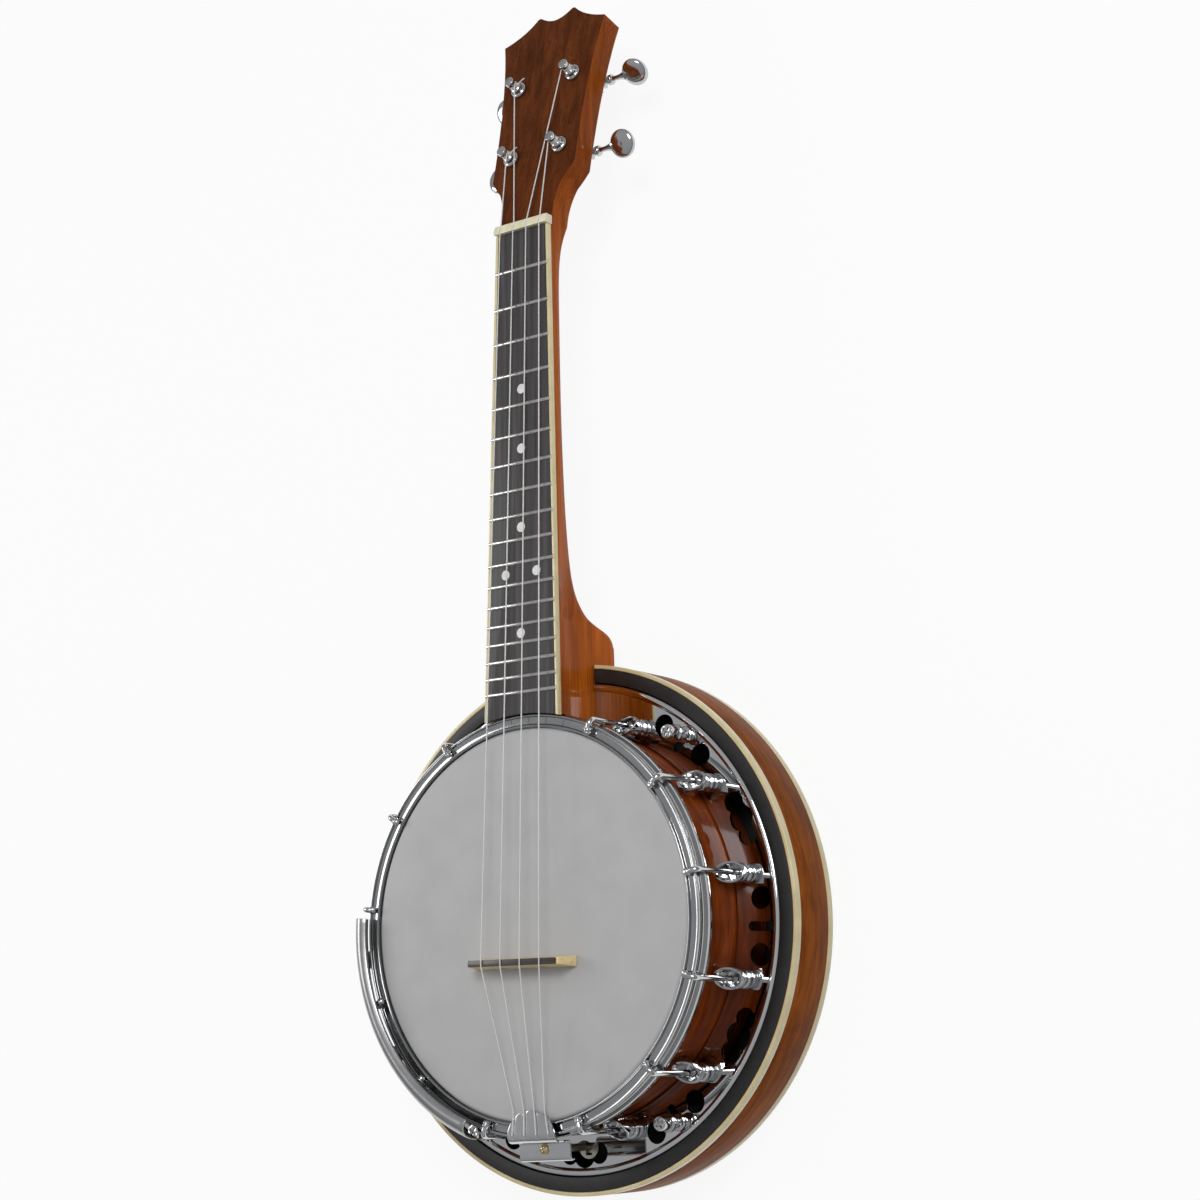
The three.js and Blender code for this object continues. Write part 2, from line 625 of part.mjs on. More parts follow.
// Fretboard with its frets, and the cream binding round its sides and end
const boardFoot = rimRadius;
const boardOutline = (inset) => [
  [-boardHalf(boardFoot) + inset, boardFoot], [boardHalf(boardFoot) - inset, boardFoot],
  [boardHalf(nutFront) - inset, nutFront], [-boardHalf(nutFront) + inset, nutFront],
];
const boardTrim = (spare) => solidOf(disc(hoopRadius + seat + spare, -potDepth, potDepth, ringStepCount)
  .translate(0, 0, potDepth).applyMatrix4(intoNeck));
const boardSlab = solidOf(raised(boardOutline(boardBinding + seat), -boardThickness, 0))
  .subtract(boardTrim(boardBinding + seat));
const fretSection = arcPoints(0, 0, 1, 0, 180, 2)
  .map(([y, z]) => new THREE.Vector2((y * fretWidth) / 2, z * fretHeight));
const fretFoot = vectors([[-fretWidth / 4, -fretHeight], [fretWidth / 4, -fretHeight]]);
const fretOutline = [...fretSection, ...fretFoot];
const fretted = Array.from({ length: fretCount }, (_, i) => {
  const along = shortened(i + 1) - saddleOffset;
  const half = boardHalf(along) - boardBinding - seat;
  const rings = [half, -half].map((x) => fretOutline.map((p) => new THREE.Vector3(x, along + p.x, p.y)));
  return solidOf(skinned(rings, fretOutline));
});
addPiece(neckFrame, 'fretboard', joined(boardSlab, ...fretted), rosewood);
const bindingSlab = solidOf(raised(boardOutline(0), -boardThickness, 0)).subtract(boardTrim(0));
const spaceHalf = boardHalf(nutFront) - boardBinding;
const spaceOutline = [...boardOutline(boardBinding).slice(0, 2),
  [spaceHalf, nutFront + overrun], [-spaceHalf, nutFront + overrun]];
const boardSpace = solidOf(raised(spaceOutline, -boardThickness - overrun, overrun))
  .subtract(boardTrim(boardBinding));
addPiece(neckFrame, 'fretboard_binding', bindingSlab.subtract(boardSpace), cream);

// Nut: a bar across the end of the board, sloping back, with a slot for each string
const nutOutline = [
  [nutFront + seat, -boardThickness], [nutBack, -boardThickness], [nutBack, nutRise - nutFall],
  [nutFront + seat + nutFlat, nutRise], [nutFront + seat, nutRise],
];
const nutSides = [boardNutWidth / 2, -boardNutWidth / 2];
const nutRings = nutSides.map((x) => nutOutline.map(([y, z]) => new THREE.Vector3(x, y, z)));
const slotFloor = nutRise - stringRadius * 2;
const nutSlots = Array.from({ length: stringCount }, (_, i) => {
  const x = (i - (stringCount - 1) / 2) * nutSpacing;
  const half = nutSlotWidth / 2;
  return solidOf(block(x - half, x + half, nutFront, nutBack + seat, slotFloor, nutRise + seat));
});
const nutBlank = solidOf(skinned(nutRings, vectors(nutOutline)));
addPiece(neckFrame, 'nut', nutSlots.reduce((left, slot) => left.subtract(slot), nutBlank), ivory);

// Flange: a flat plate round the rim with a raised bead, cut out for the neck and with pierced patterns
const flangeTop = level(flangeDrop);
const beadInner = flangeRadius - flangeBeadWidth;
const flangeRing = solidOf(turned([
  [flangeInner, flangeTop - flangeThickness], [flangeInner, flangeTop], [beadInner, flangeTop],
  ...flangeBeadShares.map((share) => [beadInner + share * flangeBeadWidth, flangeTop + flangeBeadHeight]),
  [flangeRadius, flangeTop], [flangeRadius, flangeTop - flangeThickness],
]));
const pierce = (radius, out, degrees) => {
  const angle = radians(degrees);
  return solidOf(disc(radius, flangeTop - flangeThickness - overrun, flangeTop + overrun, holeStepCount)
    .translate(out * Math.sin(angle), out * Math.cos(angle), 0));
};
const slotShape = solidOf(block(-slotWidth / 2, slotWidth / 2, holeCircle - slotLength / 2 - seat,
  holeCircle + slotLength / 2 - seat, flangeTop - flangeThickness - overrun, flangeTop + overrun));
const slotGroup = (degrees) => [
  pierce(holeRadius, holeCircle, degrees - holeAngle),
  pierce(holeRadius, holeCircle, degrees + holeAngle),
  slotShape.rotate([0, 0, -degrees]),
];
const cloudGroup = (degrees) => [
  pierce(cloudSideRadius, holeCircle, degrees - cloudAngle),
  pierce(cloudMiddleRadius, holeCircle, degrees),
  pierce(cloudSideRadius, holeCircle, degrees + cloudAngle),
];
const gapAngle = (side, gap) => side * hookAngle(gap + 0.5) - fittingAngle;
const piercings = cloudGroup(180 - fittingAngle);
for (let gap = 0; gap < sideHookCount - 1; gap += 1) {
  const group = gap % 2 === 0 ? slotGroup : cloudGroup;
  piercings.push(...group(gapAngle(1, gap)), ...group(gapAngle(-1, gap)));
}
const screwAngles = [1, -1].flatMap((side) => [gapAngle(side, 0), gapAngle(side, sideHookCount - 2)]);
const heelOutline = neckSection(resonatorRadius, heelDepth, heelSectionShares, 1, seat * 2);
const heelCutRings = [resonatorRadius + overrun, rimInner].map((along) =>
  heelOutline.map(({ x, y }) => new THREE.Vector3(x, along, neckTop + y)));
const heelCut = solidOf(skinned(heelCutRings, heelOutline).applyMatrix4(neckFrame.matrixWorld));
const flangeSolid = [heelCut, ...piercings].reduce((left, cutter) => left.subtract(cutter), flangeRing);
addPiece(whole, 'flange', flangeSolid, chrome);

// Resonator: a bowl with a flat back, notched for the heel, with lugs for its screws and a rebate for
// the bindings at both edges of its side
const wallTop = level(wallDrop);
const bindingInner = resonatorRadius - bindingWidth;
const rebate = bindingInner - seat;
const frontShoulder = wallTop - frontBindingHeight - seat;
const backShoulder = backBindingHeight + seat;
const screwCircle = beadInner - seat - screwWasherRadius;
const bowl = solidOf(turned([
  [0, 0], [rebate, 0], [rebate, backShoulder], [resonatorRadius, backShoulder],
  [resonatorRadius, frontShoulder], [rebate, frontShoulder], [rebate, wallTop], [wallInner, wallTop],
  [wallInner, resonatorBack * 2], [wallInner - resonatorBack, resonatorBack], [0, resonatorBack],
]));
const lugs = screwAngles.map((degrees) => {
  const lug = block(-lugWidth / 2, lugWidth / 2, wallInner - lugDepth, wallInner + seat,
    level(lugDrop + lugHeight), level(lugDrop));
  const bore = disc(screwShankRadius + seat, 0, potDepth).translate(0, screwCircle, 0);
  return solidOf(lug).subtract(solidOf(bore)).rotate([0, 0, -degrees]);
});
addPiece(whole, 'resonator', joined(bowl, ...lugs).subtract(heelCut), mahogany);
const frontBinding = solidOf(turned([
  [bindingInner, wallTop - frontBindingHeight], [resonatorRadius, wallTop - frontBindingHeight],
  [resonatorRadius, wallTop], [bindingInner, wallTop],
]));
addPiece(whole, 'resonator_binding_front', frontBinding.subtract(heelCut), cream);
const backBinding = solidOf(turned([
  [bindingInner, seat], [resonatorRadius - bindingWidth / 2, seat], [resonatorRadius, bindingWidth / 2],
  [resonatorRadius, backBindingHeight], [bindingInner, backBindingHeight],
]));
addPiece(whole, 'resonator_binding_back', backBinding, cream);

// Resonator screws: tall turned heads on the flange, with shanks through its slots into the lugs
const washerBase = flangeTop + seat;
const neckBase = washerBase + screwWasherHeight;
const collarBase = neckBase + screwNeckHeight;
const headBase = collarBase + screwCollarHeight;
const screwTop = headBase + screwHeadHeight;
const screwSolid = solidOf(turned([
  [0, washerBase - screwShankLength], [screwShankRadius, washerBase - screwShankLength],
  [screwShankRadius, washerBase], [screwWasherRadius, washerBase], [screwWasherRadius, neckBase],
  [screwNeckRadius, neckBase], [screwNeckRadius, collarBase], [screwCollarRadius, collarBase],
  [screwCollarRadius, headBase], [screwHeadRadius, headBase], [screwHeadRadius, screwTop], [0, screwTop],
], turnStepCount).translate(0, screwCircle, 0));
screwAngles.forEach((degrees, i) => {
  addPiece(whole, `resonator_screw_${i + 1}`, screwSolid, chrome).rotation.z = -radians(degrees);
});

// Tailpiece: one sheet, a fan over the hoop, folded down behind it to a ledge, and a long bolt from the
// ledge down through the flange to a bracket on the rim
const foldInner = hoopRadius + hoopBead + seat;
const fanTop = potDepth + hoopRise + tailFanRise + tailPlate;
const ledgeTop = level(tailLedgeDrop);
const fanNear = hoopLipRadius - tailFanLength / 2;
const ledgeFar = foldInner + tailPlate + tailLedgeLength;
const bendMiddle = [-foldInner - tailPlate + tailBend, fanTop - tailBend];
const tailSide = [
  [-fanNear, fanTop - tailPlate], [-fanNear, fanTop],
  ...arcPoints(...bendMiddle, tailBend, 90, 180, 2),
  [-foldInner - tailPlate, ledgeTop], [-ledgeFar, ledgeTop], [-ledgeFar - tailCurl, ledgeTop - tailCurl],
  [-ledgeFar - tailCurl, ledgeTop - tailCurl - tailPlate], [-ledgeFar, ledgeTop - tailPlate],
  [-foldInner, ledgeTop - tailPlate],
  ...arcPoints(...bendMiddle, tailBend - tailPlate, 180, 90, 2),
];
const tailRings = [-tailWidth / 2, tailWidth / 2].map((x) =>
  tailSide.map(([y, z]) => new THREE.Vector3(x, y, z)));
const tailSheet = solidOf(skinned(tailRings, vectors(tailSide)));
const fanBase = -foldInner + tailPlate;
const fanReach = -fanNear - fanBase;
const fanArc = arcPoints(0, 0, 1, 0, 180, tailFanStepCount)
  .map(([x, y]) => [(x * tailFanWidth) / 2, fanBase + y * fanReach]);
const tailOutline = [[-tailWidth / 2, -ledgeFar - overrun], [tailWidth / 2, -ledgeFar - overrun],
  [tailWidth / 2, fanBase - tailPlate], ...fanArc, [-tailWidth / 2, fanBase - tailPlate]];
const tailCut = solidOf(raised(tailOutline, 0, potDepth + boardHeight + overrun));
const boltCircle = foldInner + tailPlate + tailLedgeLength / 2;
const boltTop = ledgeTop - tailPlate / 2;
const tabTop = flangeTop - flangeThickness - tailTabGap;
const tabLow = tabTop - tailTabThickness;
const atBolt = (radius, low, high, steps) => disc(radius, low, high, steps).translate(0, -boltCircle, 0);
const tailBracket = joined(
  solidOf(atBolt(tailTabRadius, tabLow, tabTop, ringStepCount / 2)),
  solidOf(block(-tailTabRadius, tailTabRadius, -boltCircle, overrun - rimRadius, tabLow, tabTop)),
  solidOf(block(-tailTabRadius, tailTabRadius, -rimRadius - tailTabThickness * 2, overrun - rimRadius,
    tabLow - tailFootHeight, tabTop)),
).subtract(solidOf(footTrim).rotate([0, 0, -fittingAngle]));
const tailSolid = joined(
  tailSheet.intersect(tailCut), tailBracket,
  solidOf(atBolt(tailScrewRadius, boltTop, ledgeTop + tailScrewHeight, turnStepCount)),
  solidOf(atBolt(tailBoltRadius, tabLow - tailBoltEnd, boltTop, turnStepCount)),
);
addPiece(fittings, 'tailpiece', tailSolid, chrome);

// Armrest: a rolled band along the hoop on the bass side, on two legs with feet against the rim
const bandInner = hoopRadius - armrestInset;
const bandSpan = armrestInset + armrestOverhang;
const bandOuter = armrestSectionShares.map(([out, up]) =>
  [bandInner + out * bandSpan, potDepth - armrestFall + up * (armrestRise + armrestFall)]);
const bandInnerFace = bandOuter.map(([r, z], i) => {
  const slope = i / (bandOuter.length - 1);
  return [r - armrestThickness * slope, z - armrestThickness * (1 - slope)];
}).reverse();
const bandOutline = [...bandOuter, ...bandInnerFace];
const bandRings = Array.from({ length: armrestStepCount + 1 }, (_, i) => {
  const share = i / armrestStepCount;
  const angle = -radians(THREE.MathUtils.lerp(armrestStartAngle, armrestEndAngle, share));
  return bandOutline.map(([r, z]) => new THREE.Vector3(r * Math.sin(angle), r * Math.cos(angle), z));
});
const legRadius = hoopRadius + armrestOverhang - armrestThickness;
const legTop = potDepth - armrestFall + armrestThickness;
const legShelf = level(armrestLegDrop);
const legOuter = legRadius + armrestThickness / 2;
const legBlock = (near, far, low, high) =>
  solidOf(block(-armrestLegWidth / 2, armrestLegWidth / 2, near, far, low, high));
const armrestLeg = joined(
  legBlock(legRadius - armrestThickness, legOuter, legShelf, legTop),
  legBlock(rimRadius - overrun, legRadius, legShelf, legShelf + armrestThickness),
  legBlock(rimRadius - overrun, rimRadius + armrestThickness * 2,
    legShelf - armrestFootHeight, legShelf + armrestThickness / 2),
).subtract(solidOf(footTrim));
const legAngles = Array.from({ length: armrestLegCount }, (_, i) => hookAngle(legHookCount - 0.5 + i));
const armrestSolid = joined(
  solidOf(skinned(bandRings, vectors(bandOutline))),
  ...legAngles.map((degrees) => armrestLeg.rotate([0, 0, degrees])),
);
addPiece(fittings, 'armrest', armrestSolid, chrome);

// Bridge: a maple base on three feet with an ebony cap, held on the head by the strings
const headTop = potDepth + seat;
const footHalf = bridgeFootLength / 2;
const topHalf = bridgeTopLength / 2;
const bridgeFace = [[-footHalf, 0], [-topHalf, bridgeHeight], [topHalf, bridgeHeight], [footHalf, 0]];
const baseBlank = raised(bridgeFace, -bridgeBaseWidth / 2, bridgeBaseWidth / 2).rotateX(Math.PI / 2);
const basePosition = baseBlank.attributes.position;
for (let i = 0; i < basePosition.count; i += 1) {
  const share = basePosition.getZ(i) / bridgeHeight;
  const narrow = THREE.MathUtils.lerp(1, bridgeTopWidth / bridgeBaseWidth, share);
  basePosition.setY(i, basePosition.getY(i) * narrow);
}
const arches = [-1, 1].map((side) => {
  const [near, far] = bridgeArchShares.map((share) => side * share * footHalf);
  const [left, right] = near < far ? [near, far] : [far, near];
  const arch = [[left, -overrun], [right, -overrun], [right, bridgeArchHeight / 2],
    [(left + right) / 2, bridgeArchHeight], [left, bridgeArchHeight / 2]];
  const geometry = raised(arch, -bridgeBaseWidth, bridgeBaseWidth).rotateX(Math.PI / 2);
  return solidOf(geometry);
});
const bridgeAt = (solid) => solid.translate([0, -saddleOffset, headTop]);
const bridgeBase = arches.reduce((left, arch) => left.subtract(arch), solidOf(baseBlank));
addPiece(whole, 'bridge_base', bridgeAt(bridgeBase), maple);
const capHalf = bridgeCapLength / 2;
const capLow = bridgeHeight + seat;
const capTop = capLow + bridgeCap;
const capBlank = block(-capHalf, capHalf, -bridgeTopWidth / 2, bridgeTopWidth / 2, capLow, capTop);
addPiece(whole, 'bridge_cap', bridgeAt(solidOf(capBlank)), ebony);

// Tuner pieces, in a frame on the back of the headstock with X outwards from the post
const wormAway = wheelRadius + wormRadius;
const wormLead = (2 * Math.PI * wheelRadius) / wheelToothCount;
const backFace = -headstockThickness;
const wormLevel = backFace - wormDrop;
const plateTop = backFace - seat;
const plateLow = plateTop - tunerPlate;
const wormCore = wormRadius - toothDepth;
const wormTip = wormRadius + toothHeight;

function tunerBody(side) {
  const outline = [
    [-tunerPlateInner, -tunerPlateLength / 2], [tunerPlateOuter, -tunerPlateLength / 2],
    [tunerPlateOuter, tunerPlateLength / 2], [-tunerPlateInner, tunerPlateLength / 2],
  ].map(([x, y]) => [side * x, y]);
  const ears = [-1, 1].map((end) => {
    const x = end * (earSpacing + earThickness / 2);
    return solidOf(block(x - earThickness / 2, x + earThickness / 2, wormAway - earHalfWidth,
      wormAway + earHalfWidth, wormLevel - wormTip, plateLow + seat));
  });
  const shaftHole = disc(wormShaftRadius + runningGap, -tunerPlateLength, tunerPlateLength, rodStepCount);
  const shaftBore = solidOf(shaftHole.rotateY(Math.PI / 2).translate(0, wormAway, wormLevel));
  const sleeve = turned([
    [0, plateLow], [sleeveRadius, plateLow], [sleeveRadius, seat], [bushRadius, seat],
    [bushRadius, bushHeight], [0, bushHeight],
  ], turnStepCount);
  const postBore = solidOf(disc(postRadius + runningGap, wormLevel, potDepth, turnStepCount));
  return joined(solidOf(raised(outline, plateLow, plateTop)), ...ears, solidOf(sleeve))
    .subtract(shaftBore).subtract(postBore);
}

function wheelOutline() {
  const pitch = (2 * Math.PI) / wheelToothCount;
  const root = wheelRadius - toothDepth;
  return Array.from({ length: wheelToothCount }, (_, tooth) => {
    const middle = pitch * (tooth + 0.5) + Math.PI / 2;
    return toothShares.map(([along, up]) => {
      const radius = root + up * (toothDepth + toothHeight);
      const angle = middle + along * pitch;
      return [radius * Math.cos(angle), radius * Math.sin(angle)];
    });
  }).flat();
}

function tunerPost() {
  const wheelTop = wormLevel + wheelThickness / 2;
  const wheelLow = wormLevel - wheelThickness / 2;
  const spindle = turned([
    [0, wheelLow - toothDepth * 2], [postWaistRadius, wheelLow - toothDepth * 2],
    [postWaistRadius, wheelLow + seat], [postRadius, wheelLow + seat],
    [postRadius, bushHeight + seat], [postWaistRadius, bushHeight + seat * 2],
    [postWaistRadius, postRise - postCapHeight], [postCapRadius, postRise - postCapHeight / 2],
    [postCapRadius, postRise], [0, postRise],
  ], turnStepCount);
  return joined(solidOf(raised(wheelOutline(), wheelLow, wheelTop)), solidOf(spindle));
}

function wormThread(side) {
  const threadRoot = wormCore - seat;
  const threadHeight = wormTip - threadRoot;
  const profile = vectors(threadShares.map(([along, up]) => [along, threadRoot + up * threadHeight]));
  const rings = Array.from({ length: wormTurnCount * wormStepCount + 1 }, (_, i) => {
    const turns = i / wormStepCount - wormTurnCount / 2;
    const angle = -Math.PI / 2 + side * 2 * Math.PI * turns;
    return profile.map(({ x, y }) => new THREE.Vector3((turns + x) * wormLead,
      wormAway + y * Math.sin(angle), wormLevel + y * Math.cos(angle)));
  });
  return solidOf(skinned(rings, profile));
}

function tunerKnob(side, rest) {
  const inner = -earSpacing - earThickness - seat * 2;
  const flareReach = buttonReach - buttonLength / 2;
  const stem = turned([
    [0, inner], [wormShaftRadius, inner], [wormShaftRadius, stemCollarReach - stemCollarWidth],
    [stemCollarRadius, stemCollarReach - stemCollarWidth], [stemCollarRadius, stemCollarReach],
    [stemNeckRadius, stemCollarReach + stemCollarWidth / 2],
    [stemNeckRadius, (stemCollarReach + flareReach) / 2], [stemFlareRadius, flareReach],
    [stemFlareRadius, flareReach + stemFlareRadius], [0, flareReach + stemFlareRadius],
  ], rodStepCount).rotateY(Math.PI / 2).translate(0, wormAway, wormLevel);
  const button = new THREE.SphereGeometry(buttonLength / 2, turnStepCount, turnStepCount / 2);
  button.scale(1, buttonWidth / buttonLength, buttonThickness / buttonLength).rotateX(radians(rest));
  const buttonSolid = solidOf(button.translate(buttonReach, wormAway, wormLevel));
  const outwards = joined(solidOf(stem), buttonSolid);
  return joined(side > 0 ? outwards : outwards.mirror([1, 0, 0]), wormThread(side));
}

tunerPlaces.forEach(({ side, along, across }, i) => {
  const frame = new THREE.Group();
  frame.position.set(side * across, along, 0);
  headFrame.add(frame);
  addPiece(frame, `tuner_body_${i + 1}`, tunerBody(side), chrome);
  addPiece(frame, `tuner_post_${i + 1}`, tunerPost(), chrome);
  addPiece(frame, `tuner_knob_${i + 1}`, tunerKnob(side, tunerRestAngles[i]), chrome);
});

// Strings: tail, bridge, nut slot and the inner side of a post
whole.updateMatrixWorld(true);
const stringTuners = [3, 2, 1, 0];
const overCap = headTop + capTop + seat + stringRadius;
const overFan = fanTop + seat + stringRadius;
for (let i = 0; i < stringCount; i += 1) {
  const share = i - (stringCount - 1) / 2;
  const tuner = tunerPlaces[stringTuners[i]];
  const beside = postWaistRadius + seat + stringRadius;
  const postSide = -tuner.side;
  const windHeight = (bushHeight + postRise - postCapHeight) / 2;
  const points = [
    new THREE.Vector3(share * tailSpacing, -hoopRadius, overFan).applyMatrix4(tailTurn),
    new THREE.Vector3(share * tailSpacing, -fanNear, overFan).applyMatrix4(tailTurn),
    new THREE.Vector3(share * bridgeSpacing, -saddleOffset - bridgeTopWidth / 2, overCap),
    new THREE.Vector3(share * bridgeSpacing, -saddleOffset + bridgeTopWidth / 2, overCap),
    new THREE.Vector3(share * nutSpacing, nutFront + seat, slotFloor + seat + stringRadius)
      .applyMatrix4(neckFrame.matrixWorld),
    new THREE.Vector3(share * nutSpacing, nutBack, slotFloor + stringRadius)
      .applyMatrix4(neckFrame.matrixWorld),
    new THREE.Vector3(tuner.side * tuner.across + postSide * beside, tuner.along, windHeight)
      .applyMatrix4(headFrame.matrixWorld),
  ];
  addPiece(whole, `string_${i + 1}`, solidOf(bar(points, stringRadius, stringStepCount)), nylon);
}

export default whole;
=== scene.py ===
import math

import bpy
from mathutils import Matrix, Vector


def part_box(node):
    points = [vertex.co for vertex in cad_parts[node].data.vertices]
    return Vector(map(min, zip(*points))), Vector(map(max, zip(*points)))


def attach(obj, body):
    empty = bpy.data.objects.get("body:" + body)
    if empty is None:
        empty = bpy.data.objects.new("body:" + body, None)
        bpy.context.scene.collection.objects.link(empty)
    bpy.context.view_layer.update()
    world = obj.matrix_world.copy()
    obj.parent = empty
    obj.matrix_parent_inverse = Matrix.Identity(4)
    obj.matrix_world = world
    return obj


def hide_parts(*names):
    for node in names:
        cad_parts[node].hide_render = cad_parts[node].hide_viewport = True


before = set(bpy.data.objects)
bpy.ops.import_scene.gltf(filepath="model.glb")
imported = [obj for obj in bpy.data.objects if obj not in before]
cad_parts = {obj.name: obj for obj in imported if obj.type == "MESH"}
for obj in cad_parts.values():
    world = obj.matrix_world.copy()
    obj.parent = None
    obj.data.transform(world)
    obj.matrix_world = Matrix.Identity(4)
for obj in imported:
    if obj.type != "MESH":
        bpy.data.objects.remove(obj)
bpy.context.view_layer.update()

# The table, the lamps and the camera: a pale sheet under the banjo ukulele, a soft lamp high on its treble
# side, a weaker one on the bass side, and a long lens that looks down across the strings.
scene = bpy.context.scene
scene.view_settings.view_transform = "Standard"

floor_size, floor_drop = 60.0, 0.0003
paper_tone, paper_roughness, paper_glow_share = 0.8, 0.9, 0.9
bpy.ops.object.select_all(action="DESELECT")
bpy.ops.mesh.primitive_plane_add(size=floor_size, location=(0, 0, -floor_drop))
floor = bpy.context.object
floor.name = "floor"
paper = bpy.data.materials.new("pale_paper")
paper.use_nodes = True
paper_nodes, paper_links = paper.node_tree.nodes, paper.node_tree.links
paper_shader = paper_nodes["Principled BSDF"]
paper_shader.inputs["Base Color"].default_value = (paper_tone, paper_tone, paper_tone, 1)
paper_shader.inputs["Roughness"].default_value = paper_roughness
paper_glow = paper_nodes.new("ShaderNodeEmission")
paper_glow.inputs["Color"].default_value = (1, 1, 1, 1)
paper_path = paper_nodes.new("ShaderNodeLightPath")
paper_seen = paper_nodes.new("ShaderNodeMath")
paper_seen.operation = "MAXIMUM"
paper_links.new(paper_path.outputs["Is Camera Ray"], paper_seen.inputs[0])
paper_links.new(paper_path.outputs["Is Glossy Ray"], paper_seen.inputs[1])
paper_share = paper_nodes.new("ShaderNodeMath")
paper_share.operation = "MULTIPLY"
paper_share.inputs[1].default_value = paper_glow_share
paper_links.new(paper_seen.outputs[0], paper_share.inputs[0])
paper_mix = paper_nodes.new("ShaderNodeMixShader")
paper_links.new(paper_share.outputs[0], paper_mix.inputs["Fac"])
paper_links.new(paper_shader.outputs["BSDF"], paper_mix.inputs[1])
paper_links.new(paper_glow.outputs["Emission"], paper_mix.inputs[2])
paper_links.new(paper_mix.outputs["Shader"], paper_nodes["Material Output"].inputs["Surface"])
floor.data.materials.append(paper)

horizon_tone, wall_tone, ceiling_tone = (0.16, 0.16, 0.165), (0.45, 0.45, 0.46), (0.58, 0.58, 0.59)
wall_level, room_strength = 0.4, 0.75
world = bpy.data.worlds.new("studio")
scene.world = world
world.use_nodes = True
world_nodes, world_links = world.node_tree.nodes, world.node_tree.links
sky_place = world_nodes.new("ShaderNodeTexCoord")
sky_height = world_nodes.new("ShaderNodeSeparateXYZ")
sky_ramp = world_nodes.new("ShaderNodeValToRGB")
sky_ramp.color_ramp.elements[0].color = (*horizon_tone, 1)
sky_ramp.color_ramp.elements[1].color = (*ceiling_tone, 1)
sky_middle = sky_ramp.color_ramp.elements.new(wall_level)
sky_middle.color = (*wall_tone, 1)
world_links.new(sky_place.outputs["Generated"], sky_height.inputs["Vector"])
world_links.new(sky_height.outputs["Z"], sky_ramp.inputs["Fac"])
world_links.new(sky_ramp.outputs["Color"], world_nodes["Background"].inputs["Color"])
world_nodes["Background"].inputs["Strength"].default_value = room_strength

lamp_target = Vector((0, 0.05, 0.05))
for lamp_name, place, size, power in (
    ("key_softbox", (0.62, 0.55, 1.35), 0.55, 11.0),
    ("bass_side_fill", (-1.3, 0.3, 0.9), 0.7, 6.0),
):
    bpy.ops.object.light_add(type="AREA", location=place)
    lamp = bpy.context.object
    lamp.name = lamp_name
    lamp.data.size = size
    lamp.data.energy = power
    lamp.rotation_euler = (lamp_target - lamp.location).to_track_quat("-Z", "Y").to_euler()

camera_place, camera_turns = (0.69295, -0.06275, 0.94802), (10.841, 36.538, -0.938)
bpy.ops.object.camera_add(location=camera_place)
camera = bpy.context.object
camera.rotation_euler = [math.radians(degrees) for degrees in camera_turns]
camera.data.lens = 67.12
camera.data.sensor_width = 36.0
camera.data.clip_start = 0.05
scene.camera = camera

# The rim: a laminated mahogany shell under a glossy lacquer, turned down at its top so that the head can
# pass over it. It is spun from its section, and every round piece after it is spun the same way.
spin_merge = 0.000005

def revolve(name, profile, steps=168):
    bpy.ops.object.select_all(action="DESELECT")
    bpy.ops.mesh.primitive_circle_add(vertices=len(profile), radius=1)
    piece = bpy.context.object
    piece.name = name
    for vertex, (radius, height) in zip(piece.data.vertices, profile):
        vertex.co = (radius, 0, height)
    bpy.ops.object.mode_set(mode="EDIT")
    bpy.ops.mesh.select_all(action="SELECT")
    bpy.ops.mesh.spin(steps=steps, angle=math.tau, center=(0, 0, 0), axis=(0, 0, 1))
    bpy.ops.mesh.select_all(action="SELECT")
    bpy.ops.mesh.remove_doubles(threshold=spin_merge)
    bpy.ops.mesh.delete_loose()
    bpy.ops.mesh.select_all(action="SELECT")
    bpy.ops.mesh.normals_make_consistent(inside=False)
    bpy.ops.object.mode_set(mode="OBJECT")
    return piece

def pick(*pieces):
    bpy.ops.object.select_all(action="DESELECT")
    for piece in pieces:
        piece.select_set(True)
    bpy.context.view_layer.objects.active = pieces[0]

def soften(piece, width, segments=3, angle=35, smooth=40):
    pick(piece)
    if width > 0:
        bevel = piece.modifiers.new("edge", "BEVEL")
        bevel.width = width
        bevel.segments = segments
        bevel.limit_method = "ANGLE"
        bevel.angle_limit = math.radians(angle)
        bevel.use_clamp_overlap = True
        bpy.ops.object.modifier_apply(modifier="edge")
    bpy.ops.object.shade_smooth_by_angle(angle=math.radians(smooth))
    return piece

def dress(piece, material, *nodes, body="instrument"):
    piece.data.materials.clear()
    for layer in material if isinstance(material, (list, tuple)) else (material,):
        piece.data.materials.append(layer)
    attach(piece, body)
    if nodes:
        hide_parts(*nodes)
    return piece

def plain_material(name, colour, roughness, metallic=0.0, coat=0.0, coat_roughness=0.03):
    material = bpy.data.materials.new(name)
    material.use_nodes = True
    shader = material.node_tree.nodes["Principled BSDF"]
    shader.inputs["Base Color"].default_value = (*colour, 1)
    shader.inputs["Roughness"].default_value = roughness
    shader.inputs["Metallic"].default_value = metallic
    shader.inputs["Coat Weight"].default_value = coat
    shader.inputs["Coat Roughness"].default_value = coat_roughness
    return material

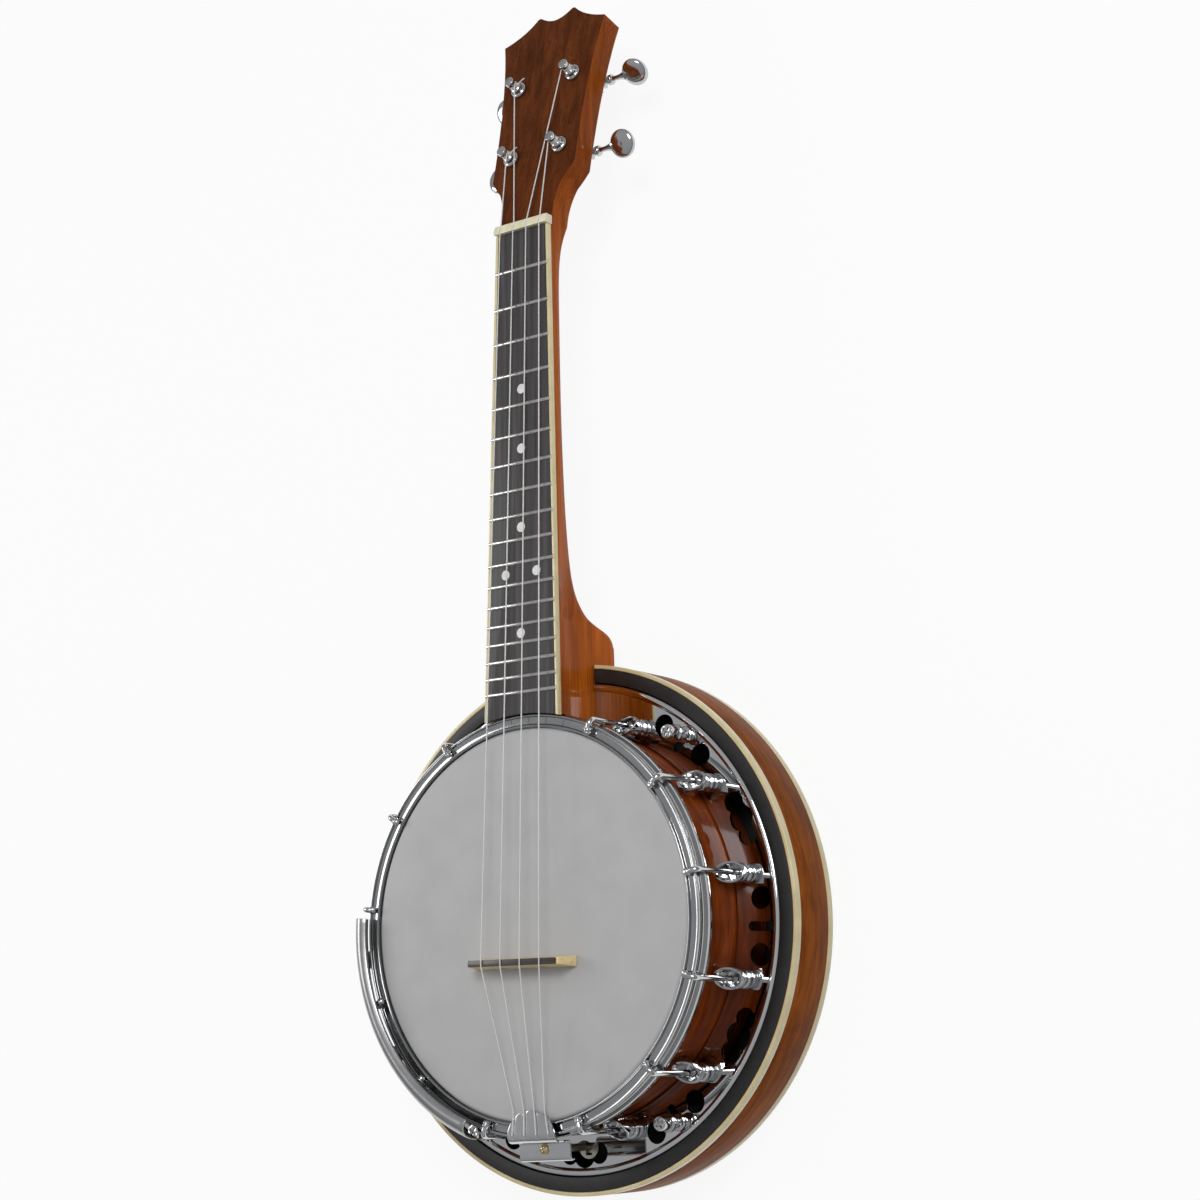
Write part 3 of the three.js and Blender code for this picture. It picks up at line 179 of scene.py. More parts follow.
def object_noise(material, scale, stretch=(1, 1, 1), detail=4.0, distortion=0.0):
    nodes, links = material.node_tree.nodes, material.node_tree.links
    place = nodes.new("ShaderNodeTexCoord")
    mapping = nodes.new("ShaderNodeMapping")
    mapping.inputs["Scale"].default_value = stretch
    noise = nodes.new("ShaderNodeTexNoise")
    noise.inputs["Scale"].default_value = scale
    noise.inputs["Detail"].default_value = detail
    noise.inputs["Distortion"].default_value = distortion
    links.new(place.outputs["Object"], mapping.inputs["Vector"])
    links.new(mapping.outputs["Vector"], noise.inputs["Vector"])
    return noise.outputs["Fac"]

def colour_ramp(material, factor, stops):
    ramp = material.node_tree.nodes.new("ShaderNodeValToRGB")
    elements = ramp.color_ramp.elements
    while len(elements) < len(stops):
        elements.new(0.5)
    for element, (position, colour) in zip(elements, stops):
        element.position = position
        element.color = (*colour, 1)
    material.node_tree.links.new(factor, ramp.inputs["Fac"])
    return ramp.outputs["Color"]

def multiplied(material, first, second):
    nodes, links = material.node_tree.nodes, material.node_tree.links
    mix = nodes.new("ShaderNodeMix")
    mix.data_type = "RGBA"
    mix.blend_type = "MULTIPLY"
    mix.inputs["Factor"].default_value = 1.0
    links.new(first, mix.inputs[6])
    links.new(second, mix.inputs[7])
    return mix.outputs[2]

def paint(material, colour):
    shader = material.node_tree.nodes["Principled BSDF"]
    material.node_tree.links.new(colour, shader.inputs["Base Color"])

def vary_roughness(material, factor, low, high):
    nodes, links = material.node_tree.nodes, material.node_tree.links
    spread = nodes.new("ShaderNodeMapRange")
    spread.inputs["To Min"].default_value = low
    spread.inputs["To Max"].default_value = high
    links.new(factor, spread.inputs["Value"])
    links.new(spread.outputs["Result"], nodes["Principled BSDF"].inputs["Roughness"])

def lacquered_wood(name, dark, middle, light, grain, figure, gloss=0.08, coat=0.12):
    cloud_dark, cloud_light, pore_tone = (0.72, 0.7, 0.68), (1.12, 1.1, 1.08), (0.65, 0.65, 0.65)
    wood = plain_material(name, middle, 0.45, coat=coat, coat_roughness=gloss)
    wood.node_tree.nodes["Principled BSDF"].inputs["Specular IOR Level"].default_value = 0.03
    streaks = object_noise(wood, 240, grain, detail=6, distortion=0.4)
    bands = colour_ramp(wood, streaks, ((0.25, dark), (0.5, middle), (0.75, light)))
    clouds = object_noise(wood, 26, figure, detail=3, distortion=1.2)
    toned = multiplied(wood, bands, colour_ramp(wood, clouds, ((0.3, cloud_dark), (0.7, cloud_light))))
    fine = tuple(8 if share == 1 else share * 2 for share in grain)
    pores = object_noise(wood, 260, fine, detail=2)
    paint(wood, multiplied(wood, toned, colour_ramp(wood, pores, ((0.36, pore_tone), (0.46, (1, 1, 1))))))
    vary_roughness(wood, clouds, 0.38, 0.52)
    return wood

rim_wood = lacquered_wood("rim_mahogany", (0.13, 0.02, 0.002), (0.24, 0.042, 0.004), (0.37, 0.076, 0.008),
                          grain=(0.12, 0.12, 1), figure=(1, 1, 0.3))
rim_low, rim_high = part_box("rim")
rim_radius, rim_wall = rim_high.x, 0.0105
skirt_drop, skirt_length, crown = 0.0024, 0.0067, 0.0022
skirt_radius = rim_radius - skirt_drop
skirt_low = rim_high.z - skirt_length
rim = revolve("rim_shell", [
    (rim_radius - rim_wall, rim_low.z), (rim_radius, rim_low.z), (rim_radius, skirt_low),
    (skirt_radius, skirt_low), (skirt_radius, rim_high.z - crown), (skirt_radius - crown, rim_high.z),
    (rim_radius - rim_wall, rim_high.z),
])
soften(rim, 0.0005)
dress(rim, rim_wood, "rim")

# The head: a coated white skin, faintly mottled, drawn down over the rim's edge and bonded into its own
# bright hoop. The skin and its hoop are one spun piece with two finishes.
def tone(material, factor, *tones):
    first, last = 0.3, 0.7
    stops = [(first + (last - first) * i / (len(tones) - 1), colour) for i, colour in enumerate(tones)]
    paint(material, colour_ramp(material, factor, stops))

def bump(material, height, strength, distance):
    nodes, links = material.node_tree.nodes, material.node_tree.links
    relief = nodes.new("ShaderNodeBump")
    relief.inputs["Strength"].default_value = strength
    relief.inputs["Distance"].default_value = distance
    links.new(height, relief.inputs["Height"])
    links.new(relief.outputs["Normal"], nodes["Principled BSDF"].inputs["Normal"])

def arc(centre, reach, first, last, count, rise=None):
    turns = [math.radians(first + (last - first) * i / (count - 1)) for i in range(count)]
    return [(centre[0] + reach * math.cos(a), centre[1] + (rise or reach) * math.sin(a)) for a in turns]

skin = plain_material("coated_skin", (0.42, 0.42, 0.416), 0.55, coat=0.12, coat_roughness=0.35)
tone(skin, object_noise(skin, 55, detail=5), (0.402, 0.402, 0.4), (0.436, 0.436, 0.432))
bump(skin, object_noise(skin, 1500, detail=2), 0.12, 0.0001)
chrome = plain_material("polished_chrome", (0.58, 0.585, 0.59), 0.09, metallic=1.0)
tone(chrome, object_noise(chrome, 70, detail=4), (0.52, 0.525, 0.53), (0.62, 0.625, 0.63))
vary_roughness(chrome, object_noise(chrome, 300, detail=3), 0.06, 0.13)

fit_gap = 0.0003
skin_sheet, skin_gap, flesh_drop = 0.0005, 0.0008, 0.0033
head_low, head_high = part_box("drum_head")
head_top = head_high.z
flesh_radius, flesh_top = head_high.x, head_top - flesh_drop
crown_out = skirt_radius + skin_gap
crown_arc = arc((crown_out - crown, head_top - crown), crown, 90, 0, 7)
inner_arc = [(r - skin_sheet, z - skin_sheet) for r, z in reversed(crown_arc)]
head = revolve("drum_head_skin", [
    (0, head_top), (crown_out * 0.5, head_top), (crown_out * 0.85, head_top), *crown_arc,
    (crown_out, flesh_top), (flesh_radius, flesh_top), (flesh_radius, head_low.z),
    (skirt_radius + fit_gap, head_low.z), *inner_arc, (0, head_top - skin_sheet),
])
soften(head, 0)
dress(head, (skin, chrome), "drum_head")
for face in head.data.polygons:
    if face.center.z < flesh_top + 0.0001:
        face.material_index = 1

# The tension hoop: a heavy chromed ring with a channel along its top for the hooks, a hollow outer wall
# and a bead round its foot. It is spun from its section.
hoop_low, hoop_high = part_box("tension_hoop")
hoop_top, hoop_foot = hoop_high.z, hoop_low.z
bead_radius = hoop_high.x
hoop_radius = bead_radius - 0.0008
lip_radius = crown_out + fit_gap
channel_out = hoop_radius - 0.001
channel_in = channel_out - 0.0042
channel_floor = hoop_top - 0.0014
hollow_radius = hoop_radius - 0.001
wall_radius, wall_top = flesh_radius + fit_gap, flesh_top + fit_gap
hoop = revolve("tension_hoop_ring", [
    (lip_radius, wall_top), (lip_radius, hoop_top - 0.0006), (lip_radius + 0.0004, hoop_top),
    (channel_in - 0.0002, hoop_top), (channel_in + 0.0003, channel_floor),
    (channel_out - 0.0004, channel_floor), (channel_out, hoop_top),
    (hoop_radius - 0.0002, hoop_top), (hoop_radius, hoop_top - 0.0005), (hoop_radius, hoop_top - 0.0022),
    (hollow_radius, hoop_top - 0.0036), (hollow_radius, hoop_top - 0.0058),
    (bead_radius - 0.0003, hoop_top - 0.0072), (bead_radius, hoop_top - 0.0084),
    (bead_radius - 0.0001, hoop_foot + 0.0008), (bead_radius - 0.0008, hoop_foot),
    (wall_radius, hoop_foot), (wall_radius, wall_top),
], steps=192)
soften(hoop, 0.0002, segments=2, angle=25)
hoop_chrome = plain_material("hoop_chrome", (0.42, 0.425, 0.43), 0.1, metallic=1.0)
vary_roughness(hoop_chrome, object_noise(hoop_chrome, 200, detail=3), 0.08, 0.14)
tone(hoop_chrome, object_noise(hoop_chrome, 60, detail=4), (0.39, 0.395, 0.4), (0.46, 0.465, 0.47))
dress(hoop, hoop_chrome, "tension_hoop")

# Hooks and bracket nuts: twelve bent rods, each with a grooved bead in the hoop's channel and a turned
# nut that draws it down through its shoe. One is made and copied round the pot.
hook_first, hook_step, fitting_turn = 26.6, 27.4, 2.5
hooks_per_side = 6

def hook_degrees(place):
    return hook_first + place * hook_step

def bar(name, points, radius, radii=None, sides=3):
    bpy.ops.object.select_all(action="DESELECT")
    bpy.ops.curve.primitive_bezier_curve_add()
    piece = bpy.context.object
    piece.name = name
    curve = piece.data
    curve.splines.clear()
    curve.dimensions = "3D"
    line = curve.splines.new("POLY")
    line.points.add(len(points) - 1)
    for i, (point, place) in enumerate(zip(line.points, points)):
        point.co = (*place, 1)
        point.radius = radii[i] if radii else 1
    curve.bevel_depth = radius
    curve.bevel_resolution = sides
    curve.use_fill_caps = True
    bpy.ops.object.convert(target="MESH")
    return bpy.context.object

def join(pieces):
    pick(*pieces)
    bpy.ops.object.join()
    return bpy.context.object

def shift(piece, x=0, y=0, z=0):
    piece.data.transform(Matrix.Translation((x, y, z)))
    return piece

def swing(piece, degrees, axis="Z"):
    piece.data.transform(Matrix.Rotation(math.radians(degrees), 4, axis))
    return piece

def turned_copy(piece, name, degrees):
    copy = piece.copy()
    copy.data = piece.data.copy()
    copy.name = name
    scene.collection.objects.link(copy)
    return swing(copy, degrees)

rod_radius, hook_bend = 0.0015, 0.0025
nut_drop, nut_radius, nut_height = 0.0387, 0.0047, 0.0054
hook_circle = bead_radius + fit_gap + rod_radius
nut_foot = head_top - nut_drop
reach_top = hoop_top + fit_gap + rod_radius
bend_middle = (hook_circle - hook_bend, reach_top - hook_bend)
tip_start, tip_end, tip_drop = bend_middle[0] - 0.0004, channel_in + 0.0002, 0.0009
tip_shares = ((0.0, 1.0), (0.3, 1.0), (0.38, 1.3), (0.52, 1.42), (0.6, 1.15), (0.66, 1.15), (0.74, 1.42),
              (0.9, 1.2), (1.0, 0.5))
hook_line = [(0, hook_circle, nut_foot)]
hook_line += [(0, y, z) for y, z in arc(bend_middle, hook_bend, 0, 90, 7)]
hook_radii = [1] * len(hook_line) + [width for _, width in tip_shares]
hook_line += [(0, tip_start + (tip_end - tip_start) * along, reach_top - tip_drop * along)
              for along, _ in tip_shares]
hook_rod = bar("hook_rod", hook_line, rod_radius, hook_radii, sides=4)
nut_profile = ((0, 0), (0.9, 0), (1, 0.05), (1, 0.22), (0.95, 0.26), (0.76, 0.3), (0.76, 0.82),
               (0.95, 0.86), (0.97, 0.9), (0.94, 0.97), (0.86, 1), (0, 1))
hook_nut = revolve("hook_nut", [(r * nut_radius, nut_foot + z * nut_height) for r, z in nut_profile], 24)
shift(hook_nut, y=hook_circle)
hook = join([hook_rod, hook_nut])
soften(hook, 0.00012, segments=2, angle=30, smooth=50)

# Shoes: twelve cast and chromed sockets on feet bolted to the rim. Each is a round cup with a thin wall,
# spun and then cut off on a slant, so that its mouth opens outwards and the hook's rod shows inside it.
def prism(name, outline, low, high):
    bpy.ops.object.select_all(action="DESELECT")
    bpy.ops.mesh.primitive_circle_add(vertices=len(outline), radius=1)
    piece = bpy.context.object
    piece.name = name
    for vertex, (x, y) in zip(piece.data.vertices, outline):
        vertex.co = (x, y, low)
    bpy.ops.object.mode_set(mode="EDIT")
    bpy.ops.mesh.select_all(action="SELECT")
    bpy.ops.mesh.edge_face_add()
    bpy.ops.mesh.extrude_region_move(TRANSFORM_OT_translate={"value": (0, 0, high - low)})
    bpy.ops.mesh.select_all(action="SELECT")
    bpy.ops.mesh.normals_make_consistent(inside=False)
    bpy.ops.object.mode_set(mode="OBJECT")
    return piece

def slab(name, x0, x1, y0, y1, z0, z1):
    return prism(name, [(x0, y0), (x1, y0), (x1, y1), (x0, y1)], z0, z1)

def drum(name, radius, low, high, steps=168):
    return revolve(name, [(0, low), (radius, low), (radius, high), (0, high)], steps)

def cut(piece, *cutters, operation="DIFFERENCE"):
    for cutter in cutters:
        pick(piece)
        boolean = piece.modifiers.new("cut", "BOOLEAN")
        boolean.operation = operation
        boolean.solver = "EXACT"
        boolean.object = cutter
        bpy.ops.object.modifier_apply(modifier="cut")
        bpy.data.objects.remove(cutter)
    return piece

shoe_height, shoe_lip, shoe_radius, shoe_wall, shoe_floor = 0.013, 0.0017, 0.0052, 0.0009, 0.0011
shoe_bore, shoe_corner, shoe_fillet = 0.0019, 0.001, 0.0006
foot_half, foot_height, foot_inside = 0.0035, 0.007, 0.003
shoe_foot = nut_foot + nut_height + fit_gap
shoe_top = shoe_foot + shoe_height
foot_low = shoe_foot + shoe_floor
cup_inside = shoe_radius - shoe_wall
cup = revolve("shoe_cup", [
    (shoe_bore, shoe_foot), (shoe_radius - shoe_corner, shoe_foot),
    (shoe_radius - shoe_corner * 0.3, shoe_foot + shoe_corner * 0.3),
    (shoe_radius, shoe_foot + shoe_corner), (shoe_radius, shoe_top), (cup_inside, shoe_top),
    (cup_inside, foot_low + shoe_fillet), (cup_inside - shoe_fillet, foot_low), (shoe_bore, foot_low),
], 40)
shoe_slant = math.atan2(shoe_height - shoe_lip, 2 * shoe_radius)
mouth = slab("mouth", -0.02, 0.02, -0.03, 0.03, 0, 0.03)
mouth.data.transform(Matrix.Translation((0, 0, shoe_foot + (shoe_height + shoe_lip) / 2))
                     @ Matrix.Rotation(-shoe_slant, 4, "X"))
cut(cup, mouth)
shoe_block = slab("shoe_block", -foot_half, foot_half, rim_radius + fit_gap - hook_circle, -foot_inside,
                  foot_low, foot_low + foot_height)
cut(shoe_block, drum("socket_room", shoe_radius - shoe_wall / 2, 0, 0.1, 40))
shoe = shift(join([cup, shoe_block]), y=hook_circle)
soften(shoe, 0.0002, segments=2, angle=30, smooth=50)
for side, half in ((-1, 0), (1, 1)):
    for place in range(hooks_per_side):
        number = f"{half * hooks_per_side + place + 1:02d}"
        degrees = side * hook_degrees(place) + fitting_turn
        dress(turned_copy(hook, f"bracket_hook_{number}", degrees), chrome, f"hook_{number}")
        dress(turned_copy(shoe, f"bracket_shoe_{number}", degrees), chrome, f"shoe_{number}")
for pattern in (hook, shoe):
    bpy.data.objects.remove(pattern)

# The neck: one piece of mahogany, half round under the fretboard, swelling into a deep waisted heel, with
# a thinner tilted headstock. Painted shade darkens the wood towards that end and on the headstock's face.
# The shaft is lofted along its sections and the headstock cut from a slab.
neck_tilt, head_tilt = 0.69, 11.8
board_height, neck_top, wood_top = 0.0044, -0.0043, -0.0031
scale_length, saddle_back, nut_thickness = 0.381, 0.019704, 0.0053
nut_width, end_width, last_fret = 0.0346, 0.0466, 18
head_sink, head_rise = 0.0005, 0.0006
nut_front = scale_length - saddle_back
nut_back = nut_front + nut_thickness
neck_frame = (Matrix.Translation((0, 0, head_top + board_height))
              @ Matrix.Rotation(-math.radians(neck_tilt), 4, "X"))
head_frame = (neck_frame @ Matrix.Translation((0, nut_back + fit_gap, neck_top + head_rise))
              @ Matrix.Rotation(-math.radians(head_tilt), 4, "X"))

def fret_place(number):
    return scale_length * 2 ** (-number / 12) - saddle_back

def board_half(along):
    share = (nut_front - along) / (nut_front - fret_place(last_fret))
    return (nut_width + (end_width - nut_width) * share) / 2

def loft(name, rings, close=True):
    loft_merge = 0.000001
    across, along = len(rings[0]), len(rings)
    bpy.ops.object.select_all(action="DESELECT")
    bpy.ops.mesh.primitive_grid_add(x_subdivisions=across - (0 if close else 1), y_subdivisions=along - 1)
    piece = bpy.context.object
    piece.name = name
    row = across + (1 if close else 0)
    for i, ring in enumerate(rings):
        for j in range(row):
            piece.data.vertices[i * row + j].co = ring[j % across]
    bpy.ops.object.mode_set(mode="EDIT")
    bpy.ops.mesh.select_all(action="SELECT")
    bpy.ops.mesh.remove_doubles(threshold=loft_merge)
    if close:
        bpy.ops.mesh.select_all(action="DESELECT")
        bpy.ops.mesh.select_non_manifold(extend=False, use_wire=False, use_multi_face=False,
                                         use_non_contiguous=False, use_verts=False)
        bpy.ops.mesh.fill_holes(sides=0)
    bpy.ops.mesh.select_all(action="SELECT")
    bpy.ops.mesh.normals_make_consistent(inside=False)
    bpy.ops.object.mode_set(mode="OBJECT")
    return piece

heel_section_shares = ((1, 0), (0.86, 0.1), (0.73, 0.22), (0.665, 0.38), (0.66, 0.58), (0.66, 0.8),
                       (0.62, 0.94), (0.42, 0.995), (0, 1))
heel_station_shares = ((-0.02, 1, 1), (0.25, 1, 1), (0.293, 0.985, 1), (0.318, 0.93, 1), (0.334, 0.82, 1),
                       (0.347, 0.67, 1), (0.369, 0.51, 0.92), (0.413, 0.37, 0.78), (0.488, 0.235, 0.5),
                       (0.606, 0.125, 0.25), (0.738, 0.055, 0.1), (1, 0, 0))
blend_section_shares = ((1, 0), (1, 0.25), (1, 0.5), (1, 0.75), (1, 0.95), (0.93, 1), (0.6, 1), (0.3, 1),
                        (0, 1))
blend_station_shares = ((0, 0, 0.45), (0.4, 0.03, 0.5), (0.62, 0.12, 0.62), (0.78, 0.33, 0.8),
                        (0.89, 0.66, 0.94), (0.945, 0.86, 1), (1, 1, 1))
shaft_depth, heel_depth, heel_reach, blend_reach, shaft_square = 0.010, 0.060, 0.160, 0.052, 0.45
heel_flank = 0.63

def toward(first, second, share):
    return tuple(p + (q - p) * share for p, q in zip(first, second))

def catmull(values, steps):
    out = []
    padded = [values[0]] + list(values) + [values[-1]]
    for a, b, c, d in zip(padded, padded[1:], padded[2:], padded[3:]):
        for t in (i / steps for i in range(steps)):
            out.append(tuple(0.5 * (2 * q + (r - p) * t + (2 * p - 5 * q + 4 * r - s) * t * t
                                    + (3 * q - p - 3 * r + s) * t ** 3)
                             for p, q, r, s in zip(a, b, c, d)))
    out.append(tuple(values[-1]))
    return out

def neck_ring(along, depth, heel, squarer=0.0, spare=0.0):
    half = []
    for i, (heel_point, blend_point) in enumerate(zip(heel_section_shares, blend_section_shares)):
        angle = math.pi / 2 * i / (len(heel_section_shares) - 1)
        point = toward((math.cos(angle), math.sin(angle)), heel_point, heel)
        half.append(toward(point, blend_point, squarer))
    width = board_half(along) + spare / heel_flank
    top = wood_top if along < nut_front else neck_top + head_sink
    right = [(x * width, along, top - z * (depth + spare + top - neck_top)) for x, z in catmull(half, 3)]
    left = [(-x, y, z) for x, y, z in reversed(right[:-1])]
    return right + left

headstock_length, headstock_half, headstock_thickness = 0.1326, 0.0344, 0.0135
headstock_shoulder = 0.0043
stations = [(rim_radius + a * heel_reach, shaft_depth + (heel_depth - shaft_depth) * d, h,
             shaft_square * (1 - h)) for a, d, h in heel_station_shares]
end_depth = headstock_thickness / math.cos(math.radians(head_tilt)) + 0.0001
blend_start = nut_back + head_rise - blend_reach
stations += [(blend_start + a * blend_reach, shaft_depth + (end_depth - shaft_depth) * d, 0, square)
             for a, d, square in blend_station_shares]
shaft = loft("neck_shaft", [neck_ring(*station) for station in catmull(stations, 5)])

headstock_edge_shares = (((0.506, 0.109), (0.62, 0.168)), ((0.7, 0.19), (0.806, 0.234)),
                         ((0.793, 0.655), (1, 0.911)), ((0.62, 0.936), (0.4, 0.992)),
                         ((0.345, 1.01), (0.29, 0.998)), ((0.13, 0.969), (0, 0.969)))
edge_steps = 10
edge = [(nut_width / 2, 0), (nut_width / 2, headstock_shoulder)]
for control, end in headstock_edge_shares:
    start = edge[-1]
    control = (control[0] * headstock_half, control[1] * headstock_length)
    end = (end[0] * headstock_half, end[1] * headstock_length)
    for t in (i / edge_steps for i in range(1, edge_steps + 1)):
        edge.append(tuple((1 - t) ** 2 * s + 2 * t * (1 - t) * c + t * t * e
                          for s, c, e in zip(start, control, end)))
headstock_outline = edge + [(-x, y) for x, y in reversed(edge[:-1])]
headstock = prism("headstock_slab", headstock_outline, -headstock_thickness, 0)
headstock.data.transform(neck_frame.inverted() @ head_frame)

neck = cut(shaft, headstock, operation="UNION")
neck.name = "neck_wood"
neck.data.transform(neck_frame)
cut(neck, drum("hoop_room", bead_radius + fit_gap, hoop_foot - fit_gap, head_top + 0.02),
    drum("rim_room", rim_radius + fit_gap, -0.01, hoop_foot + 0.001))
soften(neck, 0.0005, segments=3, angle=50, smooth=45)
neck_wood = lacquered_wood("neck_mahogany", (0.32, 0.068, 0.0035), (0.475, 0.109, 0.006),
                           (0.62, 0.16, 0.011), grain=(1, 0.04, 1), figure=(1, 0.25, 1))
# Painted shade: the wood is darkened along Y, from before the nut onto the headstock, for sides that fall
# darker in the light.
shade_start_along, shade_end_along, painted_shade_tone = nut_front - 0.03, nut_back + 0.02, (0.62, 0.58, 0.56)
neck_nodes, neck_links = neck_wood.node_tree.nodes, neck_wood.node_tree.links
neck_place = neck_nodes.new("ShaderNodeTexCoord")
neck_axes = neck_nodes.new("ShaderNodeSeparateXYZ")
shade_reach = neck_nodes.new("ShaderNodeMapRange")
shade_reach.inputs["From Min"].default_value = shade_start_along
shade_reach.inputs["From Max"].default_value = shade_end_along
neck_links.new(neck_place.outputs["Object"], neck_axes.inputs["Vector"])
neck_links.new(neck_axes.outputs["Y"], shade_reach.inputs["Value"])
headstock_painted_shade = colour_ramp(neck_wood, shade_reach.outputs["Result"], ((0, (1, 1, 1)), (1, painted_shade_tone)))
bare_wood = neck_nodes["Principled BSDF"].inputs["Base Color"].links[0].from_socket
paint(neck_wood, multiplied(neck_wood, bare_wood, headstock_painted_shade))
# Painted shade: a darker copy of the mahogany for the headstock's face, which catches less light than its
# sides.
face_shade_wood = lacquered_wood("headstock_face_shade", (0.06, 0.0145, 0.0037), (0.102, 0.026, 0.006),
                           (0.152, 0.041, 0.0095), grain=(1, 0.03, 1), figure=(1, 0.2, 1), gloss=0.15,
                           coat=0.1)
dress(neck, (neck_wood, face_shade_wood), "neck")
# Faces on the headstock's front take this painted-shade copy of the wood.
face_normal = head_frame.to_3x3() @ Vector((0, 0, 1))
face_place = head_frame.translation
for face in neck.data.polygons:
    depth = abs((face.center - face_place).dot(face_normal))
    if face.normal.dot(face_normal) > 0.95 and depth < 0.0004:
        face.material_index = 1

# The fretboard: dark rosewood with eighteen nickel frets and pearl dots, in a cream binding that runs
# down both sides. The board and its binding are tapered slabs, and each fret is a rounded bar.
binding_width, binding_drop, board_thickness = 0.0017, 0.0002, 0.0028
fret_height, fret_half, fret_tang = 0.001, 0.0011, 0.0005
dot_radius, dot_rise, dot_depth = 0.0026, 0.00008, 0.0005
board_end = hoop_radius + fit_gap

def taper(inset, front, back):
    return [(-board_half(front) + inset, front), (board_half(front) - inset, front),
            (board_half(back) - inset, back), (-board_half(back) + inset, back)]

def end_room():
    room = drum("end_room", board_end, -0.05, 0.2)
    room.data.transform(neck_frame.inverted())
    return room

rosewood = plain_material("rosewood", (0.04, 0.035, 0.034), 0.5, coat=0.1, coat_roughness=0.3)
rose_grain = object_noise(rosewood, 420, (1, 0.025, 1), detail=6)
rose_tones = ((0.3, (0.02, 0.018, 0.018)), (0.52, (0.04, 0.036, 0.036)), (0.72, (0.075, 0.07, 0.07)))
paint(rosewood, colour_ramp(rosewood, rose_grain, rose_tones))
bump(rosewood, rose_grain, 0.25, 0.0002)
board = prism("fretboard_slab", taper(binding_width + 0.0001, rim_radius, nut_front), -board_thickness, 0)
cut(board, end_room())
board.data.transform(neck_frame)
soften(board, 0.0002, segments=2)
dress(board, rosewood, "fretboard")

cream = plain_material("cream_binding", (0.66, 0.56, 0.31), 0.35, coat=0.6, coat_roughness=0.08)
tone(cream, object_noise(cream, 90, (1, 1, 0.4), detail=4), (0.6, 0.5, 0.26), (0.71, 0.62, 0.36))
binding = prism("fretboard_binding_strip", taper(0, rim_radius, nut_front),
                -board_thickness - binding_drop, 0)
overrun = 0.004
near_left, near_right, far_right, far_left = taper(binding_width, rim_radius - overrun, nut_front)
inner_room = prism("inner_room", [near_left, near_right, (far_right[0], nut_front + overrun),
                                  (far_left[0], nut_front + overrun)], -0.02, 0.02)
cut(binding, end_room(), inner_room)
binding.data.transform(neck_frame)
soften(binding, 0.0003, segments=2)
dress(binding, cream, "fretboard_binding")

nickel = plain_material("nickel_silver", (0.62, 0.61, 0.58), 0.2, metallic=1.0)
vary_roughness(nickel, object_noise(nickel, 400, detail=3), 0.14, 0.3)
tone(nickel, object_noise(nickel, 120), (0.58, 0.57, 0.54), (0.7, 0.69, 0.66))
fret_section = arc((0, 0), fret_half, 0, 180, 9, rise=fret_height)
fret_section += [(-fret_half * 0.5, -fret_tang), (fret_half * 0.5, -fret_tang)]
fret_bars = []
for number in range(1, last_fret + 1):
    along = fret_place(number)
    half = board_half(along) - binding_width * 0.35
    rings = [[(x, along + y, z) for y, z in fret_section] for x in (half, -half)]
    fret_bars.append(loft(f"fret_{number:02d}", rings))
frets = join(fret_bars)
frets.name = "frets"
frets.data.transform(neck_frame)
soften(frets, 0.0002, segments=2, angle=60)
dress(frets, nickel)

pearl = plain_material("pearl_dots", (0.72, 0.72, 0.74), 0.25, coat=0.8)
tone(pearl, object_noise(pearl, 350, detail=5, distortion=2),
     (0.62, 0.64, 0.68), (0.75, 0.73, 0.72), (0.8, 0.82, 0.8))
dots = []
for space, spots in ((5, (0,)), (7, (0,)), (10, (0,)), (12, (-0.01, 0.01)), (15, (0,))):
    middle = (fret_place(space) + fret_place(space - 1)) / 2
    for x in spots:
        dot = revolve("dot", [(0, -dot_depth), (dot_radius, -dot_depth), (dot_radius, dot_rise),
                              (0, dot_rise)], 28)
        dots.append(shift(dot, x, middle))
dots = join(dots)
dots.name = "pearl_dots"
dots.data.transform(neck_frame)
soften(dots, 0)
dress(dots, pearl)

# The nut: an ivory-coloured bar across the end of the fretboard, sloping back towards the headstock, with
# a filed slot for each string.
string_count, nut_spacing, bridge_spacing, tail_spacing = 4, 0.0087, 0.0121, 0.0064
string_radius = 0.00035
nut_rise, nut_floor, nut_slope, nut_flat = 0.0022, -0.004, 0.0013, 0.002
filed_depth, filed_half = 0.0007, 0.00045
ivory = plain_material("nut_ivory", (0.74, 0.7, 0.5), 0.35, coat=0.3)
tone(ivory, object_noise(ivory, 160, (1, 0.3, 1)), (0.68, 0.63, 0.43), (0.8, 0.76, 0.57))
nut_section = [(nut_front + fit_gap, nut_floor), (nut_back, nut_floor), (nut_back, nut_rise - nut_slope),
               (nut_front + nut_flat, nut_rise), (nut_front + fit_gap, nut_rise)]
nut_bar = loft("nut_bar", [[(x, y, z) for y, z in nut_section] for x in (nut_width / 2, -nut_width / 2)])
for i in range(string_count):
    x = (i - (string_count - 1) / 2) * nut_spacing
    cut(nut_bar, slab("slot", x - filed_half, x + filed_half, nut_front - 0.001, nut_back + 0.001,
                      nut_rise - filed_depth, nut_rise + 0.001))
nut_bar.data.transform(neck_frame)
soften(nut_bar, 0.00025, segments=2)
dress(nut_bar, ivory, "nut")

# The flange: a mirror-bright plate between the rim and the resonator, with a rolled bead and a pierced
# pattern of round holes, slots and three-lobed clouds. It is spun, then the openings are cut through, and
# its flat faces stay flat so that they mirror truly.
flange_low, flange_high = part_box("flange")
flange_top, flange_foot = head_top - 0.0393, flange_low.z
flange_radius = max(flange_high.x, -flange_low.x)
flange_inner = rim_radius + 0.0009
bead_width, bead_height = 0.0042, flange_high.z - flange_top
bead_arc = arc((flange_radius - bead_width / 2, flange_top), bead_width / 2, 180, 0, 13, rise=bead_height)
flange = revolve("flange_plate", [
    (flange_inner, flange_foot), (flange_inner, flange_top), *bead_arc, (flange_radius, flange_foot),
], steps=192)

